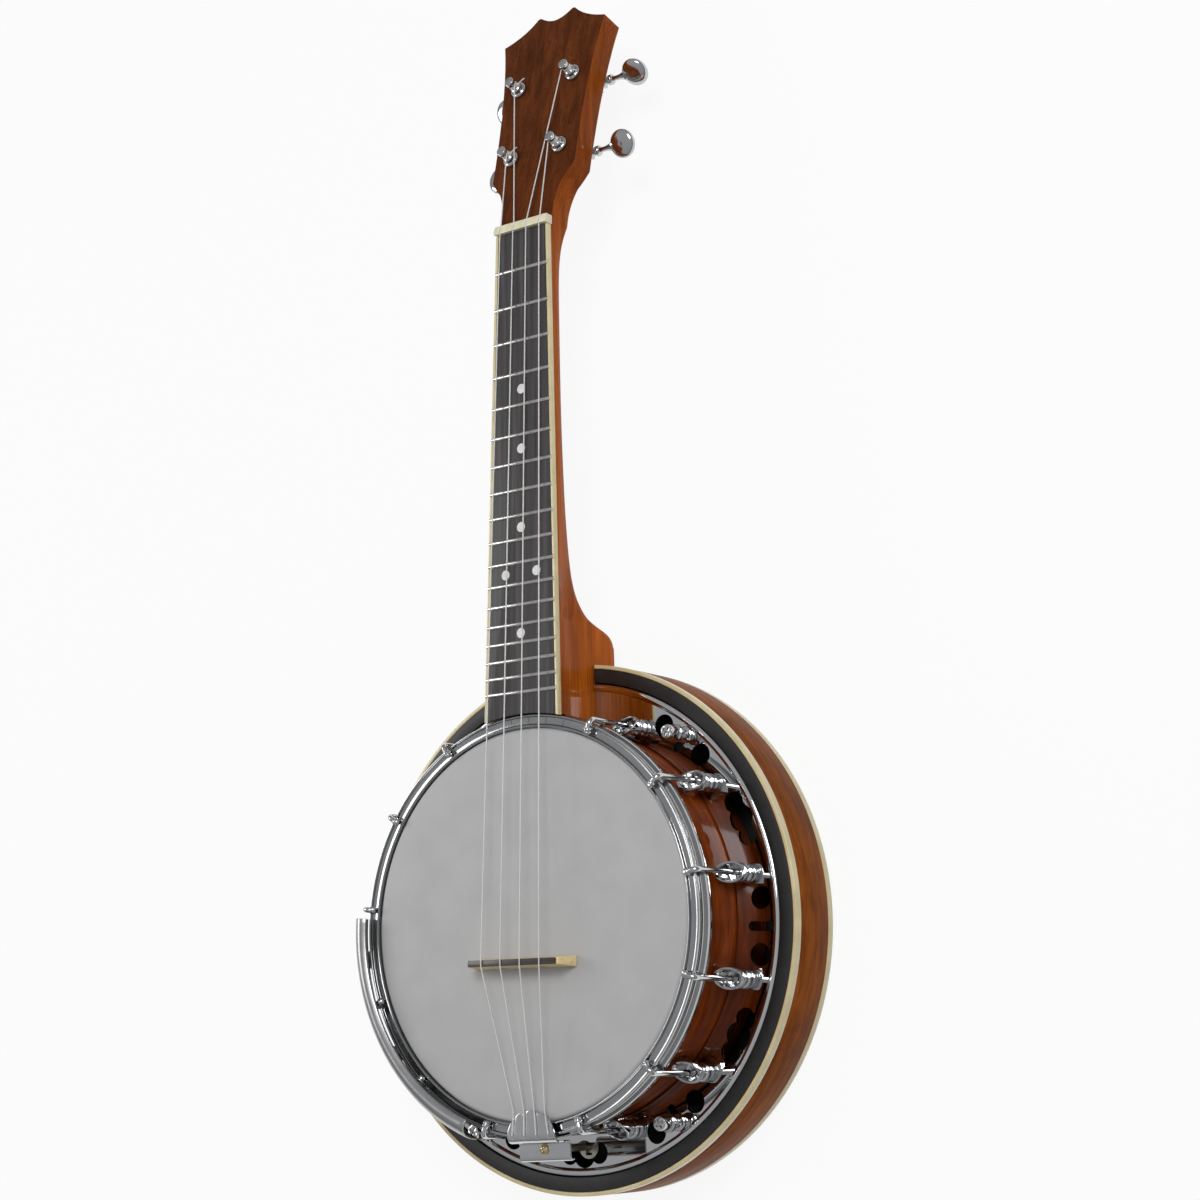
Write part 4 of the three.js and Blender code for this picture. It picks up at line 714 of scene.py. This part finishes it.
hole_circle, hole_radius, hole_turn = 0.113, 0.0056, 6.9
slot_length, slot_width, slot_inset = 0.0146, 0.0047, 0.0003
cloud_middle, cloud_side, cloud_turn = 0.0067, 0.0053, 4.6
cut_low, cut_high = flange_foot - 0.004, flange_top + 0.004

def round_hole(radius, degrees):
    a = math.radians(degrees)
    return shift(drum("hole", radius, cut_low, cut_high, 40), hole_circle * math.sin(a),
                 hole_circle * math.cos(a))

def slot_group(degrees):
    end = arc((0, slot_length / 2 - slot_width / 2), slot_width / 2, 0, 180, 13)
    slot_outline = end + [(-x, -y) for x, y in end]
    slot = prism("slot", [(x, hole_circle - slot_inset + y) for x, y in slot_outline], cut_low, cut_high)
    return [swing(slot, -degrees), round_hole(hole_radius, degrees - hole_turn),
            round_hole(hole_radius, degrees + hole_turn)]

def cloud_group(degrees):
    return [round_hole(cloud_side, degrees - cloud_turn), round_hole(cloud_middle, degrees),
            round_hole(cloud_side, degrees + cloud_turn)]

def gap_degrees(side, gap):
    return side * hook_degrees(gap + 0.5) - fitting_turn

heel_seat, heel_spare, room_start, room_end = 0.133, 0.0007, 0.08, 0.15
heel_ring = neck_ring(heel_seat, heel_depth, 1, spare=heel_spare)
heel_room = loft("heel_room", [[(x, y, z) for x, _, z in heel_ring] for y in (room_start, room_end)])
heel_room.data.transform(neck_frame)
cutters = cloud_group(180 - fitting_turn)
for gap in range(hooks_per_side - 1):
    for side in (1, -1):
        cutters += (cloud_group if gap % 2 else slot_group)(gap_degrees(side, gap))
cut(flange, turned_copy(heel_room, "heel_room_flange", 0), *cutters)
soften(flange, 0.00015, segments=2, angle=50, smooth=35)
for face in flange.data.polygons:
    face.use_smooth = abs(face.normal.z) < 0.999
mirror = plain_material("mirror_chrome", (0.68, 0.69, 0.7), 0.03, metallic=1.0)
tone(mirror, object_noise(mirror, 40, detail=4), (0.64, 0.65, 0.66), (0.7, 0.71, 0.72))
vary_roughness(mirror, object_noise(mirror, 200, detail=3), 0.015, 0.05)
dress(flange, mirror, "flange")

# The resonator: a shallow mahogany bowl with a flat back, its side lacquered, its front edge painted
# black, and a cream binding round both edges. All three are spun, and the bowl and its front binding are
# then notched for the heel.
bowl_low, bowl_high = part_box("resonator")
bowl_radius, bowl_foot, bowl_top = bowl_high.x, bowl_low.z, bowl_high.z
wall_inner = bowl_radius - 0.0091
strip_width, back_strip, back_board, glue_gap = 0.0027, 0.0062, 0.004, 0.0001
front_width, front_strip = 0.002, 0.0045
back_ledge, back_edge = bowl_foot + back_strip + glue_gap, bowl_radius - strip_width - glue_gap
front_ledge, front_edge = bowl_top - front_strip - glue_gap, bowl_radius - front_width - glue_gap
bowl = revolve("resonator_bowl", [
    (0, bowl_foot), (back_edge, bowl_foot), (back_edge, back_ledge), (bowl_radius, back_ledge),
    (bowl_radius, front_ledge), (front_edge, front_ledge), (front_edge, bowl_top), (wall_inner, bowl_top),
    (wall_inner, bowl_foot + back_board * 2), (wall_inner - back_board, bowl_foot + back_board),
    (0, bowl_foot + back_board),
], steps=192)
lug_half, lug_drop, lug_height, lug_depth, lug_sink = 0.006, 0.046, 0.010, 0.014, 0.001
lug_top = head_top - lug_drop
screw_places = [gap_degrees(side, gap) for side in (1, -1) for gap in (0, hooks_per_side - 2)]
for degrees in screw_places:
    lug = slab("lug", -lug_half, lug_half, wall_inner - lug_depth, wall_inner + lug_sink,
               lug_top - lug_height, lug_top)
    cut(bowl, swing(lug, -degrees), operation="UNION")
cut(bowl, turned_copy(heel_room, "heel_room_bowl", 0))
soften(bowl, 0.0002, segments=2, angle=50)
bowl_tones = ((0.175, 0.04, 0.003), (0.26, 0.067, 0.005), (0.35, 0.098, 0.009))
side_wood = lacquered_wood("side_mahogany", *bowl_tones, grain=(0.16, 0.16, 1), figure=(1, 1, 0.35),
                           coat=0.05)
back_wood = lacquered_wood("back_mahogany", *bowl_tones, grain=(1, 0.05, 1), figure=(1, 0.3, 1))
# The black is real paint on the front edge and inside the wall. On the walls of the heel notch it is painted
# shade for the dark gap between heel and flange.
black_paint_and_gap_shade = plain_material("black_edge_and_gap_shade", (0.009, 0.0085, 0.008), 0.5, coat=0.12, coat_roughness=0.25)
tone(black_paint_and_gap_shade, object_noise(black_paint_and_gap_shade, 200), (0.006, 0.0058, 0.0055), (0.012, 0.0115, 0.011))
dress(bowl, (side_wood, back_wood, black_paint_and_gap_shade), "resonator")
notch_half = 0.0245
for face in bowl.data.polygons:
    centre, out = face.center, face.center.xy.length
    # The notch walls beside the heel take the black as painted shade.
    notch_gap_shade = (centre.y > 0.1 and abs(centre.x) < notch_half and abs(face.normal.z) < 0.95
             and abs(out - bowl_radius) > 0.0012)
    if face.normal.z < -0.9 and centre.z < 0.001:
        face.material_index = 1
    elif centre.z > bowl_top - 0.0005 or out < wall_inner + 0.0005 or notch_gap_shade:
        face.material_index = 2

front_ring = revolve("binding_front_ring", [
    (bowl_radius - front_width, bowl_top - front_strip), (bowl_radius, bowl_top - front_strip),
    (bowl_radius, bowl_top), (bowl_radius - front_width, bowl_top),
], steps=192)
cut(front_ring, heel_room)
soften(front_ring, 0.0004, segments=3)
dress(front_ring, cream, "resonator_binding_front")
strip_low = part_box("resonator_binding_back")[0].z
back_ring = revolve("binding_back_ring", [
    (bowl_radius - strip_width, strip_low), (bowl_radius - strip_width / 2, strip_low),
    (bowl_radius, strip_low + strip_width / 2), (bowl_radius, back_strip),
    (bowl_radius - strip_width, back_strip),
], steps=192)
soften(back_ring, 0.0006, segments=3)
dress(back_ring, cream, "resonator_binding_back")

# Resonator screws: four tall thumb screws with coin-edged heads and cross slots. They stand on the flange
# and pass through its slots into lugs inside the resonator.
mm = 0.001
screw_profile_mm = ((0, -14), (1.6, -14), (1.9, -13.6), (1.9, 0), (4.2, 0), (4.2, 0.6), (3.6, 0.9),
                    (2.6, 1.1), (2.5, 2.4), (2.9, 2.8), (2.9, 3.6), (2.5, 4), (2.5, 6.6), (3.2, 7.2),
                    (4.5, 7.5), (4.5, 9.2), (3.7, 9.5), (3.4, 9.9), (3.6, 10.4), (3.6, 15.6),
                    (3.3, 16.1), (0, 16.1))
screw_circle = flange_radius - bead_width - fit_gap - 4.2 * mm
screw_foot = flange_top + fit_gap
screw_face = screw_foot + screw_profile_mm[-1][1] * mm
screw = revolve("screw", [(r * mm, screw_foot + z * mm) for r, z in screw_profile_mm], 40)
slot_deep, slot_half, slot_reach = 0.0011, 0.00045, 0.0024
for degrees in (0, 90):
    groove = slab("groove", -slot_half, slot_half, -slot_reach, slot_reach, screw_face - slot_deep,
                  screw_face + 0.001)
    cut(screw, swing(groove, degrees))
shift(screw, y=screw_circle)
soften(screw, 0.0001, segments=2, angle=40, smooth=40)
for number, degrees in enumerate(screw_places, 1):
    dress(turned_copy(screw, f"thumb_screw_{number}", -degrees), chrome, f"resonator_screw_{number}")
bpy.data.objects.remove(screw)

# The coordinator rod: a plain steel rod through the pot from the heel to the rim's tail, where an end nut
# draws it tight against the rim. Rod and nut are turned pieces.
steel = plain_material("rod_steel", (0.5, 0.5, 0.51), 0.3, metallic=1.0)
vary_roughness(steel, object_noise(steel, 300, (1, 0.05, 1)), 0.22, 0.4)
tone(steel, object_noise(steel, 60), (0.46, 0.46, 0.47), (0.56, 0.56, 0.57))
rod_height, rod_into_heel = head_top - 0.033, 0.018
cross_rod_radius, end_nut_radius, end_nut_height, rod_proud = 0.003, 0.005, 0.0036, 0.0012
tail_turn = Matrix.Rotation(math.radians(fitting_turn), 4, "Z")
rod_front = Vector((0, rim_radius + rod_into_heel, rod_height))
rod_tail = tail_turn @ Vector((0, -rim_radius - fit_gap - end_nut_height - rod_proud, rod_height))
rod_along = (rod_tail - rod_front).normalized()
nut_ends = [rod_tail - rod_along * (rod_proud + end_nut_height), rod_tail - rod_along * rod_proud]
rod = join([bar("rod_bar", [rod_front, rod_tail], cross_rod_radius, sides=6),
            bar("rod_nut", nut_ends, end_nut_radius, sides=1)])
rod.name = "rod_and_nut"
soften(rod, 0.0003, segments=2, angle=35)
dress(rod, steel, "coordinator_rod")

# The tailpiece: one chromed sheet, a grooved fan over the hoop, a fold down to a ledge with a rolled edge,
# drawn down by a long bolt to a slotted tab on the rim. The sheet is a strip bent along its side view and
# given its thickness, the bolt and its nut are turned, and the tab is cut from a plate.
sheet = 0.001
fan_half, ledge_half, ledge_depth, fold_flare = 0.0145, 0.0155, 0.0074, 0.6
bend, crease, curl = 0.0035, 0.0014, 0.0016
groove_depth, groove_half, groove_spread = 0.00035, 0.0007, 0.0012
fan_top = hoop_top + 0.0014 + sheet
ledge_top = head_top - 0.0074
fold_y = -(bead_radius + fit_gap)
fold_outer = fold_y - sheet
fan_near = -(lip_radius - 0.0135 / 2)
fan_base = fold_y + 0.001
ledge_far = fold_outer - ledge_depth
bend_y, crease_y = fold_outer + bend, fold_outer - crease

def run(first, last, steps):
    return [toward(first, last, i / steps) for i in range(1, steps + 1)]

side_view = [(fan_near, fan_top)] + run((fan_near, fan_top), (bend_y, fan_top), 12)
side_view += arc((bend_y, fan_top - bend), bend, 100, 180, 9)
side_view += run((fold_outer, fan_top - bend), (fold_outer, ledge_top + crease), 6)
side_view += arc((crease_y, ledge_top + crease), crease, -15, -90, 6)
side_view += run((crease_y, ledge_top), (ledge_far, ledge_top), 8)
side_view += arc((ledge_far, ledge_top - curl), curl, 110, 230, 7)
columns = 48
tail_rows = []
for y, z in side_view:
    if y > fan_base:
        reach = (y - fan_base) / (fan_near - fan_base)
        half = fan_half * math.sqrt(max(0.0, 1 - reach * reach))
    else:
        half = min(ledge_half, fan_half + max(0.0, fan_top - z - bend) * fold_flare)
    spacing = tail_spacing + groove_spread * (y - fan_near) / (fold_y - fan_near)
    row = []
    for x in (half * (2 * j / columns - 1) for j in range(columns + 1)):
        dip = 0.0
        if y > fan_base:
            for i in range(string_count):
                off_line = x - (i - (string_count - 1) / 2) * spacing
                dip += groove_depth * math.exp(-(off_line / groove_half) ** 2)
        row.append((x, y, z - dip - sheet / 2))
    tail_rows.append(row)
tail_plate = loft("tail_plate", tail_rows, close=False)
thick = tail_plate.modifiers.new("sheet", "SOLIDIFY")
thick.thickness = sheet
thick.offset = 0
bpy.ops.object.modifier_apply(modifier="sheet")
tail_plate.data.transform(tail_turn)
soften(tail_plate, 0.0003, segments=2, angle=50, smooth=40)
tail_plate.name = "tailpiece_sheet"

tab_radius, tab_thickness, tab_foot, tab_drop, tab_sink = 0.006, 0.0016, 0.012, 0.0018, 0.004
tab_slot_half, tab_slot_reach = 0.0019, 0.0042
bolt_radius, bolt_end, bolt_corner = 0.0019, 0.0024, 0.0004
bolt_nut_radius, bolt_nut_height = 0.0036, 0.0018
bolt_y = fold_outer - ledge_depth / 2
tab_top = flange_top - 0.002 - tab_drop
tab_low = tab_top - tab_thickness
bolt_low, bolt_high = tab_low - bolt_end, ledge_top - sheet / 2
bolt_rod = revolve("bolt_rod", [
    (0, bolt_low), (bolt_radius - bolt_corner, bolt_low), (bolt_radius, bolt_low + bolt_corner),
    (bolt_radius, bolt_high), (0, bolt_high),
], 28)
bolt_nut = drum("bolt_nut", bolt_nut_radius, tab_low - bolt_nut_height, tab_low, 6)
bolt = shift(join([bolt_rod, bolt_nut]), y=bolt_y)
tab = shift(drum("tail_tab", tab_radius, tab_low, tab_top, 48), y=bolt_y)
cut(tab, slab("tab_neck", -tab_radius, tab_radius, bolt_y, tab_sink - rim_radius, tab_low, tab_top),
    operation="UNION")
cut(tab, slab("tab_slot", -tab_slot_half, tab_slot_half, bolt_y - tab_slot_reach, bolt_y + tab_slot_reach,
              tab_low - 0.001, tab_top + 0.001))
cut(tab, slab("tab_foot", -tab_radius, tab_radius, -rim_radius - 2 * tab_thickness,
              tab_sink - rim_radius, tab_low - tab_foot, tab_top), operation="UNION")
cut(tab, drum("rim_face", rim_radius + fit_gap, tab_low - tab_foot - tab_sink, tab_top + tab_sink))
tail_hanger = join([bolt, tab])
tail_hanger.data.transform(tail_turn)
soften(tail_hanger, 0.0003, segments=2, angle=50, smooth=40)
tail_hanger.name = "tailpiece_bolt_and_tab"
satin_chrome = plain_material("satin_chrome", (0.6, 0.61, 0.62), 0.16, metallic=1.0)
vary_roughness(satin_chrome, object_noise(satin_chrome, 260, detail=4), 0.1, 0.22)
tone(satin_chrome, object_noise(satin_chrome, 60), (0.54, 0.55, 0.56), (0.64, 0.65, 0.66))
dress(tail_plate, satin_chrome, "tailpiece")
worn_nickel = plain_material("worn_nickel", (0.4, 0.38, 0.32), 0.4, metallic=1.0)
vary_roughness(worn_nickel, object_noise(worn_nickel, 260, detail=4), 0.32, 0.48)
tone(worn_nickel, object_noise(worn_nickel, 120), (0.34, 0.32, 0.26), (0.46, 0.44, 0.38))
dress(tail_hanger, worn_nickel)
brass = plain_material("brass_screw", (0.62, 0.5, 0.28), 0.2, metallic=1.0)
tone(brass, object_noise(brass, 300), (0.52, 0.41, 0.22), (0.7, 0.57, 0.33))
ledge_screw_mm = ((0, -0.4), (2.6, -0.4), (2.6, 0.4), (2.1, 1), (1.2, 1.3), (0, 1.3))
ledge_screw = revolve("ledge_screw", [(r * mm, ledge_top + z * mm) for r, z in ledge_screw_mm], 28)
for degrees in (20, 110):
    groove = slab("groove", -0.3 * mm, 0.3 * mm, -1.7 * mm, 1.7 * mm, ledge_top + 0.7 * mm,
                  ledge_top + 3 * mm)
    cut(ledge_screw, swing(groove, degrees))
ledge_screw.data.transform(tail_turn @ Matrix.Translation((0, bolt_y, 0)))
soften(ledge_screw, 0.0001, segments=2)
dress(ledge_screw, brass)

# The armrest: a rolled and chromed band along the hoop on the bass side, carried by two legs whose feet
# lie against the rim between the hooks. The band is lofted round the hoop, the legs are bent strips.
rest_start, rest_end, rest_steps = 84, 158.5, 48
rest_sheet, rest_inset, rest_out, rest_rise, rest_fall = 0.0013, 0.003, 0.0077, 0.0084, 0.0055
rest_shares = ((0, 0.91), (0.27, 1), (0.6, 0.91), (0.84, 0.65), (0.96, 0.29), (1, 0))
leg_half, leg_drop, leg_foot_height, leg_foot_out = 0.0045, 0.022, 0.008, 0.0026
rest_inner, rest_span = hoop_radius - rest_inset, rest_inset + rest_out
outer_line = [(rest_inner + o * rest_span, head_top - rest_fall + u * (rest_rise + rest_fall))
              for o, u in catmull(rest_shares, 4)]
rest_section = list(outer_line)
for i, (r, z) in reversed(list(enumerate(outer_line))):
    share = i / (len(outer_line) - 1)
    rest_section.append((r - rest_sheet * share, z - rest_sheet * (1 - share)))
rest_rings = []
for i in range(rest_steps + 1):
    a = -math.radians(rest_start + (rest_end - rest_start) * i / rest_steps)
    rest_rings.append([(r * math.sin(a), r * math.cos(a), z) for r, z in rest_section])
leg_parts = [loft("armrest_band", rest_rings)]
leg_radius, leg_shelf = hoop_radius + rest_out - rest_sheet, head_top - leg_drop
leg_seat = rim_radius + fit_gap
for gap in (2, 3):
    for y0, y1, z0, z1 in (
        (leg_radius - rest_sheet, leg_radius + rest_sheet / 2, leg_shelf, head_top - rest_fall + rest_sheet),
        (leg_seat, leg_radius, leg_shelf, leg_shelf + rest_sheet),
        (leg_seat, rim_radius + leg_foot_out, leg_shelf - leg_foot_height, leg_shelf + rest_sheet / 2),
    ):
        plate = slab("leg", -leg_half, leg_half, y0, y1, z0, z1)
        leg_parts.append(swing(plate, hook_degrees(gap + 0.5)))
armrest = join(leg_parts)
armrest.data.transform(tail_turn)
armrest.name = "armrest_band_and_legs"
soften(armrest, 0.0003, segments=2, angle=50, smooth=40)
satin_rest = plain_material("satin_armrest", (0.4, 0.403, 0.406), 0.34, metallic=1.0)
vary_roughness(satin_rest, object_noise(satin_rest, 180, detail=4), 0.24, 0.36)
tone(satin_rest, object_noise(satin_rest, 40), (0.37, 0.373, 0.376), (0.43, 0.433, 0.436))
dress(armrest, satin_rest, "armrest")

# The bridge: a maple base on three feet with a thin ebony cap, held on the head by the pull of the
# strings alone.
maple = plain_material("bridge_maple", (0.58, 0.42, 0.19), 0.5, coat=0.15, coat_roughness=0.3)
maple_grain = object_noise(maple, 600, (0.035, 1, 0.8), detail=3)
tone(maple, maple_grain, (0.73, 0.55, 0.26), (0.84, 0.66, 0.34), (0.88, 0.72, 0.39))
bump(maple, maple_grain, 0.15, 0.0001)
ebony = plain_material("bridge_ebony", (0.035, 0.03, 0.028), 0.4, coat=0.2)
tone(ebony, object_noise(ebony, 500, (0.05, 1, 1)), (0.02, 0.018, 0.017), (0.06, 0.05, 0.045))
bridge_height, foot_half, top_half, cap_half = 0.0106, 0.0315, 0.028, 0.027
base_width, top_width, arch_height = 0.0054, 0.0032, 0.0042
arch_start, arch_end = 0.29, 0.49
bridge_foot = head_top + fit_gap
face_outline = [(foot_half, 0), (top_half, bridge_height), (-top_half, bridge_height), (-foot_half, 0)]
for side in (-1, 1):
    arch_middle = side * (arch_start + arch_end) / 2 * foot_half
    arch_half = (arch_end - arch_start) / 2 * foot_half
    face_outline += arc((arch_middle, 0), arch_half, 180, 0, 11, rise=arch_height)
base = prism("bridge_base_block", face_outline, -base_width / 2, base_width / 2)
swing(base, 90, "X")
for vertex in base.data.vertices:
    share = vertex.co.z / bridge_height
    vertex.co.y *= 1 + (top_width / base_width - 1) * share
shift(base, 0, -saddle_back, bridge_foot)
soften(base, 0.0003, segments=2)
dress(base, maple, "bridge_base")
cap_low, cap_top = bridge_foot + bridge_height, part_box("bridge_cap")[1].z
cap_back, cap_front = -saddle_back - top_width / 2, -saddle_back + top_width / 2
cap = slab("bridge_cap_strip", -cap_half, cap_half, cap_back, cap_front, cap_low, cap_top)
soften(cap, 0.0003, segments=2)
dress(cap, ebony, "bridge_cap")

# Tuners: four open geared machines. A screwed back plate carries the worm between two ears, the worm turns
# a toothed wheel under the string post, and an oval button stands out beside the headstock.
tuner_places = ((1, 0.0163, 0.0429, 35), (1, 0.0184, 0.0877, 60), (-1, 0.0184, 0.0877, 30),
                (-1, 0.0163, 0.0429, 10))
wheel_radius, wheel_half, worm_radius, teeth = 0.0042, 0.0012, 0.002, 14
worm_away = wheel_radius + worm_radius
worm_lead = math.tau * wheel_radius / teeth
worm_level = -headstock_thickness - 0.0071
plate_top = -headstock_thickness - fit_gap
plate_low = plate_top - 0.0011
plate_inner, plate_outer, plate_half = 0.0072, 0.0076, 0.0098
tooth_height, tooth_depth = 0.0004, 0.0006
tooth_shares = ((-0.24, -tooth_depth), (-0.1, tooth_height), (0.1, tooth_height), (0.24, -tooth_depth))
ear_spacing, ear_thickness, ear_half = 0.0042, 0.0015, 0.0029
bush_bore, bush_sleeve, bush_radius, bush_height = 0.00295, 0.0039, 0.0047, 0.0025
post_radius, post_rise = 0.0018, 0.0104
button_reach, button_size, button_waist = 0.0253, (0.0075, 0.00775, 0.003), 0.82
worm_turns, thread_steps, thread_root = 2.0, 16, 0.0011

def tuner_body(side):
    corners = [(side * x, y) for x, y in ((-plate_inner, -plate_half), (plate_outer, -plate_half),
                                          (plate_outer, plate_half), (-plate_inner, plate_half))]
    parts = [prism("plate", corners, plate_low, plate_top)]
    for end in (-1, 1):
        middle = end * (ear_spacing + ear_thickness / 2)
        parts.append(slab("ear", middle - ear_thickness / 2, middle + ear_thickness / 2,
                          worm_away - ear_half, worm_away + ear_half,
                          worm_level - worm_radius - tooth_height, plate_low + fit_gap))
    parts.append(revolve("bush", [
        (bush_bore, plate_low), (bush_sleeve, plate_low), (bush_sleeve, fit_gap), (bush_radius, fit_gap),
        (bush_radius, bush_height * 0.6), (0.0043, bush_height * 0.85), (0.0036, bush_height),
        (bush_bore, bush_height),
    ], 36))
    for x in (0.0052, -0.005):
        screw_mm = ((0, 0), (1.6, 0), (1.6, -0.4), (1, -1), (0, -1.1))
        plate_screw = revolve("plate_screw", [(r * mm, plate_low + z * mm) for r, z in screw_mm], 20)
        parts.append(shift(plate_screw, side * x, -0.0075))
    return soften(join(parts), 0.00025, segments=2, angle=40)

def tuner_post():
    gear = []
    for tooth in range(teeth):
        middle = math.tau * (tooth + 0.5) / teeth + math.pi / 2
        for share, reach in tooth_shares:
            a = middle + share * math.tau / teeth
            gear.append(((wheel_radius + reach) * math.cos(a), (wheel_radius + reach) * math.sin(a)))
    low = worm_level - wheel_half
    collar_mm = ((2.7, 0.3), (3.2, 0.6), (3.3, 1.2), (2.9, 1.9), (2.1, 2.3), (1.8, 3))
    cap_mm = ((1.8, -3.2), (2.2, -2.6), (2.8, -2.1), (2.8, -0.4), (2.5, 0), (0, 0))
    spindle = [(0, low - 0.0012), (post_radius, low - 0.0012), (0.0021, low - 0.0009), (0.0021, low),
               (0.0027, low)]
    spindle += [(r * mm, bush_height + z * mm) for r, z in collar_mm]
    spindle += [(r * mm, post_rise + z * mm) for r, z in cap_mm]
    wheel = prism("wheel", gear, low, worm_level + wheel_half)
    return soften(join([wheel, revolve("spindle", spindle, 32)]), 0.00012, segments=2, angle=40)

def tuner_knob(side, rest):
    inner = (-ear_spacing - ear_thickness) / mm - 0.6
    stem_mm = ((0, inner), (1.4, inner), (1.4, 7.4), (2.6, 7.7), (2.9, 8.4), (2.9, 9.8), (2.6, 10.5),
               (1.7, 10.9), (1.4, 11.8), (1.4, 13.8), (1.7, 15.8), (2.3, 17.5), (2.8, 19), (0, 20))
    stem = swing(revolve("stem", [(r * mm, z * mm) for r, z in stem_mm], 28), 90, "Y")
    bpy.ops.object.select_all(action="DESELECT")
    bpy.ops.mesh.primitive_uv_sphere_add(segments=40, ring_count=20, radius=1)
    button = bpy.context.object
    for vertex in button.data.vertices:
        x, y, z = vertex.co
        z = math.copysign(abs(z) ** 0.75, z) * (button_waist + (1 - button_waist) * math.hypot(x, y))
        vertex.co = [share * size for share, size in zip((x, y, z), button_size)]
    button.data.transform(Matrix.Translation((button_reach, 0, 0))
                          @ Matrix.Rotation(math.radians(rest), 4, "X"))
    crest = worm_radius + tooth_height
    thread_section = ((-0.25, thread_root), (-0.07, crest), (0.07, crest), (0.25, thread_root))
    rings = []
    for i in range(int(worm_turns * thread_steps) + 1):
        turn = i / thread_steps - worm_turns / 2
        a = -math.pi / 2 + math.tau * turn
        rings.append([((turn + x) * worm_lead, r * math.sin(a), r * math.cos(a))
                      for x, r in thread_section])
    knob = soften(join([stem, button, loft("thread", rings)]), 0, smooth=45)
    if side < 0:
        knob.data.transform(Matrix.Scale(-1, 4, (1, 0, 0)))
        knob.data.flip_normals()
    return shift(knob, 0, worm_away, worm_level)

for number, (side, across, along, rest) in enumerate(tuner_places, 1):
    place = head_frame @ Matrix.Translation((side * across, along, 0))
    for made, node, body in (
        (tuner_body(side), f"tuner_body_{number}", "instrument"),
        (tuner_post(), f"tuner_post_{number}", f"post_{number}"),
        (tuner_knob(side, rest), f"tuner_knob_{number}", f"knob_{number}"),
    ):
        made.name = "geared_" + node
        made.data.transform(place)
        dress(made, chrome, node, body=body)

# Strings: four lines of pale nylon from the fold of the tailpiece, over the fan, the bridge and the nut,
# each wound three turns round its post. They are thin round bars, straight between their seats.
nylon = plain_material("clear_nylon", (0.75, 0.75, 0.74), 0.3)
nylon.node_tree.nodes["Principled BSDF"].inputs["Transmission Weight"].default_value = 0.15
tone(nylon, object_noise(nylon, 300, (1, 0.02, 1)), (0.71, 0.71, 0.7), (0.79, 0.79, 0.78))
over_fan = fan_top + string_radius
over_cap = cap_top + string_radius
slot_floor = nut_rise - filed_depth + string_radius
nut_fall, fan_spread = 0.0009, 0.001
wind_radius, wind_pitch, wind_turns, wind_steps = post_radius + string_radius, 0.0009, 3, 14
low_wind = bush_height + 0.0024
loose_end = ((0.0034, 0.0001), (0.0052, 0.0003), (0.0066, 0.0002))
for i, tuner in enumerate((3, 2, 1, 0)):
    share = i - (string_count - 1) / 2
    side, across, along, _ = tuner_places[tuner]
    points = [tail_turn @ Vector((share * (tail_spacing + fan_spread), bend_y, over_fan)),
              tail_turn @ Vector((share * tail_spacing, fan_near, over_fan)),
              Vector((share * bridge_spacing, cap_back, over_cap)),
              Vector((share * bridge_spacing, cap_front, over_cap)),
              neck_frame @ Vector((share * nut_spacing, nut_front + fit_gap, slot_floor)),
              neck_frame @ Vector((share * nut_spacing, nut_back, slot_floor - nut_fall))]
    post_place = Vector((side * across, along, 0))
    for turn in (k / wind_steps for k in range(wind_turns * wind_steps + 1)):
        a = (math.pi if side > 0 else 0) - side * math.tau * turn
        wound = Vector((wind_radius * math.cos(a), wind_radius * math.sin(a),
                        low_wind + wind_pitch * (wind_turns - turn)))
        points.append(head_frame @ (post_place + wound))
    for reach, lift in loose_end:
        points.append(head_frame @ (post_place + Vector((reach, -side * reach * 0.5, low_wind + lift))))
    line = bar(f"nylon_string_{i + 1}", points, string_radius, sides=2)
    soften(line, 0, smooth=60)
    dress(line, nylon, f"string_{i + 1}")
